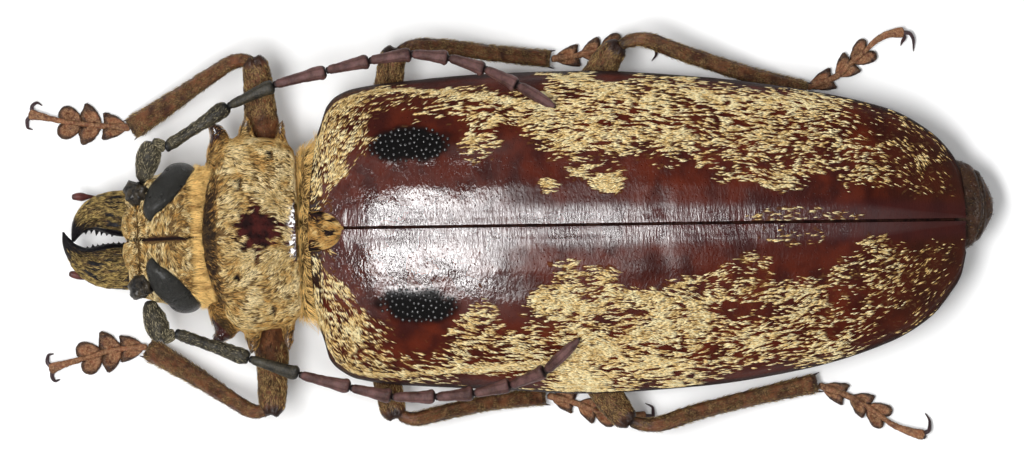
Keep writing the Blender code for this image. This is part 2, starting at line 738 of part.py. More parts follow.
def under_case_ring(y, step=0.0):
    """The body's section below the wing cases, a clearance inside them."""
    right = smooth_value(CASE_OUTLINE, 1, y) - UNDER_CASE
    left = smooth_value(CASE_OUTLINE, 2, y) - UNDER_CASE
    crown = smooth_value(CASE_HEIGHTS, 1, y) - UNDER_CASE
    rim = smooth_value(CASE_HEIGHTS, 2, y)
    bottom = smooth_value(BELLY_HEIGHTS, 1, y) + step
    return body_ring(y, right, left, crown, rim, bottom, CASE_POWER, BELLY_POWER, centre=SUTURE_X)


def make_chest():
    """Mesothorax and metathorax in one piece, with the hairy collar in front."""
    rings = []
    for y, half, top in COLLAR:
        bottom = smooth_value(BELLY_HEIGHTS, 1, y)
        centre = SUTURE_X + COLLAR_OFFSET
        right = half - COLLAR_OFFSET
        rings.append(body_ring(y, right, half, top, COLLAR_RIM, bottom, *SECTION_POWERS["collar"], centre))
    first = CASE_OUTLINE[0][0] + CHEST_INSET
    for k in range(CHEST_RINGS):
        share = (k / (CHEST_RINGS - 1)) ** 1.4
        rings.append(under_case_ring(first + (CHEST_REAR - first) * share))
    pieces = [loft("chest", rings)]
    for pair in ("mid", "hind"):
        for side in (RIGHT, LEFT):
            pieces.append(make_coxa(pair, side))
    return joined("chest", pieces)


def make_belly():
    """The abdomen, with a low step on the underside where each plate ends."""
    rings = []
    front = CHEST_REAR + CLEARANCE
    marks = (front, *STERNITE_ENDS, BELLY_REAR)
    for start, end in zip(marks, marks[1:]):
        for share in (0.0, 0.5, 0.97):
            y = start + (end - start) * share
            rings.append(under_case_ring(y, step=-STERNITE_STEP * share))
    rings.append(under_case_ring(BELLY_REAR))
    return loft("belly", rings)


def make_tip():
    rings = []
    for y, half, top, bottom in TIP_SHAPE:
        rim = (top + bottom) / 2 - 0.1
        rings.append(body_ring(y, half, half, top, rim, bottom, *SECTION_POWERS["tip"], TIP_X, steps=4))
    return loft("tip", rings)


def make_shield():
    """The scutellum: a small tongue between the bases of the wing cases."""
    front, back = SHIELD_ENDS
    rim, bottom = SHIELD_DEPTHS
    rings = []
    for share in (0.0, 0.3, 0.6, 0.8, 0.93, 1.0):
        y = front + (back - front) * share
        width = SHIELD_HALF * math.sqrt(max(1 - share ** 3, 0.02))
        top = SHIELD_TOPS[0] + (SHIELD_TOPS[1] - SHIELD_TOPS[0]) * share ** 0.7
        centre, powers = SUTURE_X + SHIELD_OFFSET, SECTION_POWERS["shield"]
        rings.append(body_ring(y, width, width, top, top - rim, top - bottom, *powers, centre, steps=3))
    return loft("shield", rings)


# Sub-parts of the fore body

def make_coxa(pair, side):
    centre, radii = COXAE[pair]
    if pair == "fore":
        return ball("coxa", (side * centre[0], centre[1], centre[2]), radii, turned_forebody)
    return ball("coxa", (SUTURE_X + side * centre[0], centre[1], centre[2]), radii)


def make_prothorax():
    rings = []
    for y, half, top, bottom, bow in PRONOTUM:
        powers = SECTION_POWERS["prothorax"]
        rings.append(body_ring(y, half, half, top, PRONOTUM_RIM, bottom, *powers, bow=bow))
    pieces = [loft("prothorax", rings, turned_forebody)]
    for root, tip, radius in SPINES:
        start = turned_forebody((*root, PRONOTUM_RIM))
        end = turned_forebody((*tip, PRONOTUM_RIM + SPINE_RISE))
        pieces.append(spike("spine", start, end, radius))
    for side in (RIGHT, LEFT):
        pieces.append(make_coxa("fore", side))
    return joined("prothorax", pieces)


def make_head():
    rings = []
    for y, half, top, bottom in HEAD:
        rings.append(body_ring(y, half, half, top, HEAD_RIM, bottom, *SECTION_POWERS["head"]))
    pieces = [loft("head", rings, turned_forebody)]
    for side in (RIGHT, LEFT):
        centre = (side * TUBERCLE[0], TUBERCLE[1], TUBERCLE[2])
        pieces.append(ball("tubercle", centre, TUBERCLE_SIZE, turned_forebody, 12, 6))
    return joined("head", pieces)


def head_height(x, y):
    """Height of the head's upper surface."""
    knots = sorted(HEAD)
    half = smooth_value(knots, 1, y)
    top = smooth_value(knots, 2, y)
    side = min(abs(x) / half, 0.98)
    power = SECTION_POWERS["head"][0]
    return HEAD_RIM + (top - HEAD_RIM) * (1 - side ** power) ** (1 / power)


def make_eye(side):
    """A kidney-shaped eye that wraps from the crown round the side of the head."""
    path = [(side * x, y, head_height(x, y), breadth) for x, y, breadth in EYE_CROWN]
    path += [(side * x, y, z, breadth) for x, y, z, breadth in EYE_SIDE]
    spots = [Vector(spot[:3]) for spot in path]
    rings = []
    for k, spot in enumerate(spots):
        forward = (spots[min(k + 1, len(spots) - 1)] - spots[max(k - 1, 0)]).normalized()
        outward = spot - Vector((0, spot.y, HEAD_AXIS))
        outward = (outward - forward * outward.dot(forward)).normalized()
        across = forward.cross(outward)
        half = path[k][3] / 2
        middle = spot - outward * EYE_SINK
        depth = min(EYE_DEPTH / 2, half)
        for pull, share in end_rounding(k, len(spots), half):
            ring = []
            for edge in range(EYE_SIDES):
                turn = 2 * math.pi * edge / EYE_SIDES
                offset = across * math.cos(turn) * half + outward * math.sin(turn) * depth
                ring.append(middle + forward * pull + offset * share)
            rings.append(ring)
    return loft("eye", rings, turned_forebody)


def make_jaw(side):
    path, widths = JAW_PATHS[side], JAW_WIDTHS[side]
    pieces = [limb("jaw", path, widths, JAW_FLATNESS, 10, turned_forebody)]
    for x, y, z in JAW_TEETH[side]:
        root = turned_forebody((x + side * TOOTH_ROOT, y, z))
        tip = turned_forebody((x - side * (TOOTH_LENGTH - TOOTH_ROOT), y - TOOTH_LEAN, z))
        pieces.append(spike("tooth", root, tip, *TOOTH_RADII, 6))
    return joined("jaw", pieces)


def make_labrum():
    rim, bottom = LABRUM_DEPTHS
    rings = []
    for y, half, top in LABRUM:
        rings.append(body_ring(y, half, half, top, top - rim, top - bottom, *SECTION_POWERS["lip"], steps=3))
    return loft("labrum", rings, turned_forebody)


def make_outer_palp(side):
    return tube("palp", OUTER_PALPS[side], OUTER_PALP_RADII, turned_forebody, 1)


def make_inner_palp(side):
    path = [(side * x, y, z) for x, y, z in INNER_PALP]
    return tube("palp", path, INNER_PALP_RADII, turned_forebody, 1)


# Feelers

def make_feeler(side):
    """The eleven joints of a feeler, each clear of the next."""
    joints = [Vector((x, y, z)) for (x, y), z in zip(FEELER_JOINTS[side], FEELER_HEIGHTS[side])]
    pieces = []
    for start, end, profile in zip(joints, joints[1:], FEELER_PROFILES):
        gap = (end - start).normalized() * CLEARANCE / 2
        first = start if start is joints[0] else start + gap
        last = end - gap
        path = [first.lerp(last, share) for share, _ in profile]
        pieces.append(tube("feeler", path, [radius for _, radius in profile]))
    return pieces


# Legs

def make_femur(pair, side):
    return limb("femur", FEMUR_PATHS[pair, side], FEMUR_WIDTHS[pair], FEMUR_FLATNESS, 10)


def make_tibia(pair, side):
    """The shin, with two spurs at its end."""
    path = TIBIA_PATHS[pair, side]
    end, before = Vector(path[-1]), Vector(path[-2])
    forward = (end - before).normalized()
    across = Vector((0, 0, 1)).cross(forward).normalized()
    pieces = [limb("tibia", path, TIBIA_WIDTHS[pair], TIBIA_FLATNESS, 8)]
    for way in (-1, 1):
        root = end + across * way * TIBIA_WIDTHS[pair][-1] * 0.3 - forward * SPUR_ROOT
        tip = root + forward * SPUR_LENGTH + across * way * SPUR_SPLAY
        tip.z = max(tip.z, SPUR_FLOOR)
        pieces.append(spike("spur", root, tip, *SPUR_RADII, 5))
    return joined("tibia", pieces)


def lobe(root, heading, length, width):
    """One flat pad of a foot joint, standing on the floor."""
    rings = []
    for height, share in LOBE_LAYERS:
        ring = []
        for side in range(LOBE_SIDES):
            turn = 2 * math.pi * side / LOBE_SIDES
            along = length * 0.5 * (1 + share * math.cos(turn))
            across = width * 0.5 * share * math.sin(turn) * (1 + LOBE_TAPER * math.cos(turn))
            x = root[0] + along * math.cos(heading) - across * math.sin(heading)
            y = root[1] + along * math.sin(heading) + across * math.cos(heading)
            ring.append((x, y, FLOOR + height))
        rings.append(ring)
    return loft("lobe", rings)


def foot_tube(name, plan, profile):
    """A round piece over the plan's points, with the profile's heights and radii."""
    path = [(*point, height) for point, (height, _) in zip(plan, profile)]
    return tube(name, path, [radius for _, radius in profile], rounds=1)


def make_tarsus(pair, side):
    """A foot: three pairs of lobes, the claw joint and two hooked claws."""
    plan = [Vector(point) for point in TARSUS_PATHS[pair, side]]
    pieces = []
    for k, (length, width, splay) in enumerate(TARSUS_LOBES[pair]):
        step = plan[k + 1] - plan[k]
        heading = math.atan2(step.y, step.x)
        for way in (-1, 1):
            pieces.append(lobe(plan[k], heading + way * math.radians(splay), length, width))
    pieces.append(foot_tube("stem", plan, FOOT_STEM))
    pieces.append(foot_tube("claw_joint", plan[2:], CLAW_JOINT))
    ahead = (plan[5] - plan[4]).normalized()
    aside = Vector((-ahead.y, ahead.x))
    for claw, heights in zip(CLAW_PATHS[pair, side], CLAW_HEIGHTS):
        spots = [plan[5] - ahead * CLAW_ROOT]
        spots += [plan[5] + ahead * on + aside * out for on, out in claw]
        path = [(*spot, height) for spot, height in zip(spots, heights)]
        pieces.append(tube("claw", path, CLAW_RADII, rounds=1))
    return joined("tarsus", pieces)


# Assembly

clear_scene()
beetle = new_collection("longhorn_beetle")
workshop = new_collection("workshop")
cutters = new_collection("cutters")
SIDES = ((RIGHT, "right"), (LEFT, "left"))
PAIRS = ("fore", "mid", "hind")

prothorax = make_prothorax()
head = cut_clear(make_head(), prothorax)
eyes = {side: cut_clear(make_eye(side), prothorax) for side, word in SIDES}
cut_clear(head, eyes[RIGHT], eyes[LEFT])
chest = make_chest()
belly = make_belly()
tip = make_tip()
shield = make_shield()

cases = {}
for side, word in SIDES:
    cases[side] = cut_clear(make_case(side), shield)

cut_clear(shield, chest)
cut_clear(chest, prothorax, cases[RIGHT], cases[LEFT])
cut_clear(tip, belly, cases[RIGHT], cases[LEFT])

legs = {}
for pair in PAIRS:
    for side, word in SIDES:
        coxa = make_coxa(pair, side)
        femur = cut_clear(make_femur(pair, side), coxa)
        bpy.data.objects.remove(coxa, do_unlink=True)
        tibia = cut_clear(make_tibia(pair, side), femur)
        tarsus = cut_clear(make_tarsus(pair, side), tibia)
        legs[pair, side] = (femur, tibia, tarsus)
        if pair == "fore":
            cut_clear(prothorax, femur)
        else:
            cut_clear(chest, femur)
            cut_clear(belly, femur)

for side, word in SIDES:
    jaw = cut_clear(make_jaw(side), head)
    outer_palp = cut_clear(make_outer_palp(side), head, jaw)
    inner_palp = cut_clear(make_inner_palp(side), head, jaw)
    finished(jaw, "mandible_" + word, "jaw_black")
    finished(outer_palp, "maxillary_palp_" + word, "palp_red")
    finished(inner_palp, "labial_palp_" + word, "palp_red")
    feeler = make_feeler(side)
    cut_clear(feeler[0], head, eyes[side])
    finished(eyes[side], "eye_" + word, "eye_black")
    for k in range(1, 3):
        cut_clear(feeler[k], feeler[k - 1])
    for k, joint in enumerate(feeler):
        finished(joint, "antenna_{}_{:02d}".format(word, k + 1), "feeler_brown")

labrum = cut_clear(make_labrum(), head)
finished(labrum, "labrum", "golden_fur")
finished(head, "head", "golden_fur")
finished(prothorax, "prothorax", "golden_fur")
finished(chest, "pterothorax", "golden_brown")
finished(belly, "abdomen", "belly_brown")
finished(tip, "abdomen_tip", "belly_brown")
finished(shield, "scutellum", "golden_fur")
for side, word in SIDES:
    finished(cases[side], "elytron_" + word, "mahogany")
    for pair in PAIRS:
        femur, tibia, tarsus = legs[pair, side]
        finished(femur, "{}_femur_{}".format(pair, word), "leg_brown")
        finished(tibia, "{}_tibia_{}".format(pair, word), "leg_brown")
        finished(tarsus, "{}_tarsus_{}".format(pair, word), "foot_brown")
for group in (workshop, cutters):
    bpy.data.collections.remove(group)
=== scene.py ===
import math

import bmesh
import bpy
import numpy as np
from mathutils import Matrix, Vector, noise
from mathutils.bvhtree import BVHTree


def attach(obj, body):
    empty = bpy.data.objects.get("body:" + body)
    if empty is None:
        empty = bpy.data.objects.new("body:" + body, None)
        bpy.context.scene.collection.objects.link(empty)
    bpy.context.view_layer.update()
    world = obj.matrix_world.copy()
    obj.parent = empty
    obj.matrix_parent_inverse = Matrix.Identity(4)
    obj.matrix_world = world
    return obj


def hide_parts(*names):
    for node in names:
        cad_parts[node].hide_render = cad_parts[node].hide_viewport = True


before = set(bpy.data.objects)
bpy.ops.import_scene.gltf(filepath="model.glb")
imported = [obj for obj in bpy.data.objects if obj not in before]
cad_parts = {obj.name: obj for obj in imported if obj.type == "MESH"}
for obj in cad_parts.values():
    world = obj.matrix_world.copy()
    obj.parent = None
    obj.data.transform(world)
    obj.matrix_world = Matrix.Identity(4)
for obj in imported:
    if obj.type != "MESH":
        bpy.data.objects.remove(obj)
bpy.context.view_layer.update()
bpy.ops.object.select_all(action="DESELECT")

mm = 0.001            # pieces are drawn in millimetres and set down in metres
right, left = -1, 1   # the animal's right side lies at -X, its head looks along -Y
sideWord = {right: "right", left: "left"}

# The beetle's long lines, the same as in the solids
body = {
    "suture": -1.49,
    "waist": (-1.23, -18.71),   # head and prothorax are turned about this point
    "neckTurn": 2.0,
    "caseGap": 0.34,
    "casePower": 2.4,
    "caseOutline": (
        (-20.6, 9.6, 10.2), (-20.0, 11.3, 12.0), (-19.4, 13.0, 14.1), (-18.4, 14.1, 15.2),
        (-16.5, 14.9, 16.2), (-12.0, 15.55, 16.9), (-1.0, 16.35, 17.55), (8.0, 16.5, 18.1),
        (20.0, 15.75, 17.5), (32.0, 14.1, 15.7), (41.0, 11.95, 12.9), (45.2, 9.6, 10.35),
        (47.4, 7.4, 7.75), (48.5, 5.4, 5.95), (49.05, 2.9, 3.6),
    ),
    "caseHeights": (
        (-20.6, 16.5, 9.5), (-19.0, 17.8, 9.2), (-14.0, 19.2, 8.8), (0.0, 20.0, 8.6), (14.0, 19.8, 8.6),
        (26.0, 18.4, 8.5), (36.0, 15.8, 8.2), (43.0, 12.6, 7.6), (47.0, 10.2, 7.0), (49.05, 8.7, 6.6),
    ),
    "caseBow": 0.8,
    "caseBowLength": 4.0,
    "shieldEnds": (-21.5, -17.75),
    "shieldHalf": 2.1,
    "shieldTops": (16.7, 18.1),
    "shieldOffset": 0.3,
}


# Numbers

def curveThrough(knots, column, places):
    # a smooth curve through the knots that never overshoots them
    x = np.array([knot[0] for knot in knots], float)
    y = np.array([knot[column] for knot in knots], float)
    steps = np.diff(x)
    slopes = np.diff(y) / steps
    tangents = np.concatenate([[slopes[0]], np.zeros(len(x) - 2), [slopes[-1]]])
    for k in range(1, len(x) - 1):
        before, after = slopes[k - 1], slopes[k]
        if before * after > 0:
            tangents[k] = 2 * before * after / (before + after)
    places = np.clip(np.asarray(places, float), x[0], x[-1])
    k = np.clip(np.searchsorted(x, places, side="right") - 1, 0, len(x) - 2)
    t = (places - x[k]) / steps[k]
    return (
        y[k] * (1 + 2 * t) * (1 - t) ** 2
        + tangents[k] * steps[k] * t * (1 - t) ** 2
        + y[k + 1] * t * t * (3 - 2 * t)
        + tangents[k + 1] * steps[k] * t * t * (t - 1)
    )


def smoothPath(points, count):
    # the points of a smooth line through the given ones, evenly spread over its knots
    points = np.asarray(points, float)
    lengths = np.concatenate([[0], np.cumsum(np.linalg.norm(np.diff(points, axis=0), axis=1))])
    places = np.linspace(0, lengths[-1], count)
    columns = []
    for k in range(points.shape[1]):
        knots = list(zip(lengths, points[:, k]))
        columns.append(curveThrough(knots, 1, places))
    return np.stack(columns, 1)


def ease(low, high, value):
    t = np.clip((np.asarray(value, float) - low) / (high - low), 0, 1)
    return t * t * (3 - 2 * t)


def hump(value, middle, reach):
    # 1 at the middle, falling to nothing a few reaches away
    return np.exp(-((np.asarray(value, float) - middle) / reach) ** 2)


def blot(x, y, spot):
    # an oval spot: middle, two radii and strength
    return spot[4] * ease(1.35, 0.65, np.hypot((x - spot[0]) / spot[2], (y - spot[1]) / spot[3]))


def cloud(points, size, octaves=2, stretch=(1, 1, 1), shift=0.0):
    # soft noise about zero over places in millimetres
    scaled = np.asarray(points, float) / size / np.array(stretch) + shift
    return np.array([noise.fractal(Vector(p), 1.0, 2.0, octaves) for p in scaled])


def turned(points):
    # places of the fore body's own lines, set where the turned fore body has them
    points = np.asarray(points, float)
    turn = math.radians(body["neckTurn"])
    across, along = points[..., 0], points[..., 1] - body["waist"][1]
    x = body["waist"][0] + across * math.cos(turn) - along * math.sin(turn)
    y = body["waist"][1] + across * math.sin(turn) + along * math.cos(turn)
    return np.stack([x, y, points[..., 2]], -1)


def unturned(points):
    turn = math.radians(body["neckTurn"])
    across, along = points[..., 0] - body["waist"][0], points[..., 1] - body["waist"][1]
    x = across * math.cos(turn) + along * math.sin(turn)
    y = body["waist"][1] - across * math.sin(turn) + along * math.cos(turn)
    return np.stack([x, y, points[..., 2]], -1)


# Shader wiring

class Wire:
    def __init__(self, tree, socket):
        self.tree, self.socket = tree, socket

    def node(self, kind, settings=None, inputs=None, output=0):
        made = self.tree.nodes.new("ShaderNode" + kind)
        for key, value in (settings or {}).items():
            if key == "stops":
                ramp = made.color_ramp
                while len(ramp.elements) < len(value):
                    ramp.elements.new(0.5)
                for element, (place, colour) in zip(ramp.elements, value):
                    element.position = place
                    element.color = (*colour, 1)
            else:
                setattr(made, key, value)
        for key, value in (inputs or {}).items():
            if isinstance(value, Wire):
                self.tree.links.new(value.socket, made.inputs[key])
            else:
                made.inputs[key].default_value = value
        return Wire(self.tree, made.outputs[output])

    def maths(self, operation, *values):
        return self.node("Math", {"operation": operation}, dict(enumerate(values)))

    def __add__(self, other):
        return self.maths("ADD", self, other)

    def __sub__(self, other):
        return self.maths("SUBTRACT", self, other)

    def __mul__(self, other):
        return self.maths("MULTIPLY", self, other)

    def __radd__(self, other):
        return self.maths("ADD", other, self)

    def __rsub__(self, other):
        return self.maths("SUBTRACT", other, self)

    def __rmul__(self, other):
        return self.maths("MULTIPLY", other, self)

    def step(self, low=0.3, high=0.7):
        settings = {"interpolation_type": "SMOOTHSTEP"}
        return self.node("MapRange", settings, {"Value": self, "From Min": low, "From Max": high})

    def blend(self, dark, bright):
        # from one colour to the other as this mask goes from 0 to 1
        ends = {
            key: value if isinstance(value, Wire) else (*value, 1)
            for key, value in ((6, dark), (7, bright))
        }
        return self.node("Mix", {"data_type": "RGBA"}, {0: self, **ends}, 2)

    def ramp(self, *stops):
        return self.node("ValToRGB", {"stops": stops}, {0: self})

    def grain(self, size, detail=2.0, rough=0.5, stretch=(1, 1, 1)):
        # noise whose features are about this many millimetres
        place = self.node("Mapping", {}, {"Vector": self, "Scale": tuple(1 / part for part in stretch)})
        return self.node(
            "TexNoise", {},
            {"Vector": place, "Scale": 1 / (size * mm), "Detail": detail, "Roughness": rough},
        )

    def cells(self, size, feature="F1"):
        return self.node("TexVoronoi", {"feature": feature}, {"Vector": self, "Scale": 1 / (size * mm)})

    def relief(self, depth, under=None):
        # this height as a bump so many millimetres deep
        inputs = {"Height": self, "Distance": depth * mm}
        if under is not None:
            inputs["Normal"] = under
        return self.node("Bump", {}, inputs)


def newFinish(name, **fixed):
    # a material with its constant numbers set on the shader's own sockets
    material = bpy.data.materials.new(name)
    material.use_nodes = True
    tree = material.node_tree
    shader = tree.nodes["Principled BSDF"]
    for key, value in fixed.items():
        shader.inputs[key.replace("_", " ")].default_value = value
    coords = tree.nodes.new("ShaderNodeTexCoord")

    def wire(**links):
        for key, value in links.items():
            tree.links.new(value.socket, shader.inputs[key.replace("_", " ")])

    return material, Wire(tree, coords.outputs["Object"]), wire


def dulled(material, share, colour, surface):
    # a second, hardly shining layer that takes over by this share
    tree = material.node_tree
    dull = tree.nodes.new("ShaderNodeBsdfPrincipled")
    dull.inputs["Roughness"].default_value = 0.65
    dull.inputs["Specular IOR Level"].default_value = 0.05
    tree.links.new(colour.socket, dull.inputs["Base Color"])
    tree.links.new(surface.socket, dull.inputs["Normal"])
    mix = tree.nodes.new("ShaderNodeMixShader")
    tree.links.new(share.socket, mix.inputs[0])
    tree.links.new(tree.nodes["Principled BSDF"].outputs[0], mix.inputs[1])
    tree.links.new(dull.outputs[0], mix.inputs[2])
    tree.links.new(mix.outputs[0], tree.nodes["Material Output"].inputs["Surface"])


def readMark(wires, name):
    # a number that each point of the piece carries
    return wires.node("Attribute", {"attribute_name": name}, {}, 2)


# Meshes

def pointsOf(mesh, kind="co"):
    flat = np.empty(len(mesh.vertices) * 3)
    if kind == "co":
        mesh.vertices.foreach_get("co", flat)
        return flat.reshape(-1, 3) / mm
    mesh.vertices.foreach_get("normal", flat)
    return flat.reshape(-1, 3)


def setPoints(mesh, points):
    mesh.vertices.foreach_set("co", (np.asarray(points) * mm).ravel())
    mesh.update()


def setMark(piece, name, values):
    mesh = piece.data
    mark = mesh.attributes.get(name) or mesh.attributes.new(name, "FLOAT", "POINT")
    mark.data.foreach_set("value", np.clip(values, 0, 1).astype(np.float32))


def marksOf(piece, name):
    flat = np.empty(len(piece.data.vertices), np.float32)
    piece.data.attributes[name].data.foreach_get("value", flat)
    return flat.astype(float)


def onlyThis(piece):
    bpy.ops.object.select_all(action="DESELECT")
    piece.select_set(True)
    bpy.context.view_layer.objects.active = piece


def applied(piece, kind, **settings):
    # adds a modifier and keeps what it makes
    onlyThis(piece)
    modifier = piece.modifiers.new(kind.title(), kind)
    for key, value in settings.items():
        setattr(modifier, key, value)
    bpy.ops.object.modifier_apply(modifier=modifier.name)


def smoothShaded(piece, angle=60):
    onlyThis(piece)
    bpy.ops.object.shade_smooth_by_angle(angle=math.radians(angle))


def formedSheet(name, along, across, place):
    # a grid whose points are laid by a function of two shares
    bpy.ops.mesh.primitive_grid_add(x_subdivisions=along, y_subdivisions=across, size=2)
    piece = bpy.context.active_object
    piece.name = piece.data.name = name
    flat = pointsOf(piece.data) * mm
    setPoints(piece.data, place((flat[:, 0] + 1) / 2, (flat[:, 1] + 1) / 2))
    return piece


def upwardSheet(name, along, across, place):
    # a formed sheet whose faces look up
    piece = formedSheet(name, along, across, place)
    if pointsOf(piece.data, "normal")[:, 2].mean() < 0:
        onlyThis(piece)
        bpy.ops.object.mode_set(mode="EDIT")
        bpy.ops.mesh.select_all(action="SELECT")
        bpy.ops.mesh.flip_normals()
        bpy.ops.object.mode_set(mode="OBJECT")
    return piece


def formedBall(location, radii, segments=32, rings=16):
    bpy.ops.mesh.primitive_uv_sphere_add(segments=segments, ring_count=rings, radius=mm, location=location)
    bpy.ops.transform.resize(value=radii)
    bpy.ops.object.transform_apply()
    return bpy.context.active_object


def formedTube(name, along, around, place):
    # a grid rolled up into a closed skin, its two ends filled with fans
    piece = formedSheet(name, along, around, place)
    onlyThis(piece)
    bpy.ops.object.mode_set(mode="EDIT")
    bpy.ops.mesh.select_all(action="SELECT")
    bpy.ops.mesh.remove_doubles(threshold=0.001 * mm)
    bpy.ops.mesh.select_all(action="DESELECT")
    bpy.ops.mesh.select_mode(type="EDGE")
    bpy.ops.mesh.select_non_manifold()
    if any(edge.select for edge in bmesh.from_edit_mesh(piece.data).edges):
        bpy.ops.mesh.edge_face_add()
        bpy.ops.mesh.select_mode(type="FACE")
        bpy.ops.mesh.poke()
    bpy.ops.mesh.select_all(action="SELECT")
    bpy.ops.mesh.normals_make_consistent(inside=False)
    bpy.ops.object.mode_set(mode="OBJECT")
    return piece


def titled(name):
    # the name of a node as a piece's name
    return name.title().replace("_", "")


def joinedAs(name, pieces):
    bpy.ops.object.select_all(action="DESELECT")
    for piece in pieces:
        piece.select_set(True)
    bpy.context.view_layer.objects.active = pieces[0]
    bpy.ops.object.join()
    pieces[0].name = pieces[0].data.name = name
    return pieces[0]


def fused(piece, voxel, rounds=4, factor=0.5):
    # one skin over joined shapes, with soft fillets where they meet
    applied(piece, "REMESH", mode="VOXEL", voxel_size=voxel * mm)
    applied(piece, "SMOOTH", factor=factor, iterations=rounds)


def kept(piece, material, slot, *nodes):
    # the piece rides with the beetle and stands for its solids
    piece.data.materials.clear()
    piece.data.materials.append(material)
    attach(piece, "root")
    if nodes:
        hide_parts(*nodes)
    return piece


def shifted(piece, amount):
    # moves each point along its normal by so many millimetres
    points, normals = pointsOf(piece.data), pointsOf(piece.data, "normal")
    setPoints(piece.data, points + normals * np.asarray(amount)[:, None])


# Coat

class Ground:
    # the skin that hairs grow on
    def __init__(self, piece, mark="fur"):
        mesh = piece.data
        mesh.calc_loop_triangles()
        corners = np.empty(len(mesh.loop_triangles) * 3, np.int32)
        mesh.loop_triangles.foreach_get("vertices", corners)
        self.corners = corners.reshape(-1, 3)
        self.points = pointsOf(mesh)
        self.normals = pointsOf(mesh, "normal")
        self.mark = marksOf(piece, mark)
        a, b, c = (self.points[self.corners[:, k]] for k in range(3))
        self.areas = np.linalg.norm(np.cross(b - a, c - a), axis=1) / 2
        self.tree = BVHTree.FromPolygons(self.points.tolist(), self.corners.tolist())

    def scatter(self, count, draw):
        sums = np.cumsum(self.areas)
        faces = np.searchsorted(sums, draw.random(count) * sums[-1])
        first, second = draw.random(count), draw.random(count)
        over = first + second > 1
        first[over], second[over] = 1 - first[over], 1 - second[over]
        shares = np.stack([1 - first - second, first, second], 1)
        corners = self.corners[faces]
        points = (self.points[corners] * shares[:, :, None]).sum(1)
        normals = (self.normals[corners] * shares[:, :, None]).sum(1)
        normals /= np.linalg.norm(normals, axis=1)[:, None]
        return points, normals, (self.mark[corners] * shares).sum(1)

    def laid(self, points):
        found = [self.tree.find_nearest(Vector(p)) for p in points]
        return np.array([hit[0] for hit in found])


# rings of a hair: share of its length, share of its width
oneRing = ((0.42, 1.0),)
twoRings = ((0.3, 1.0), (0.7, 0.75))
hairSink = 0.03       # how far a root stands in the skin
bakePatch = 0.003     # breadth of a hair's own patch on the unwrap


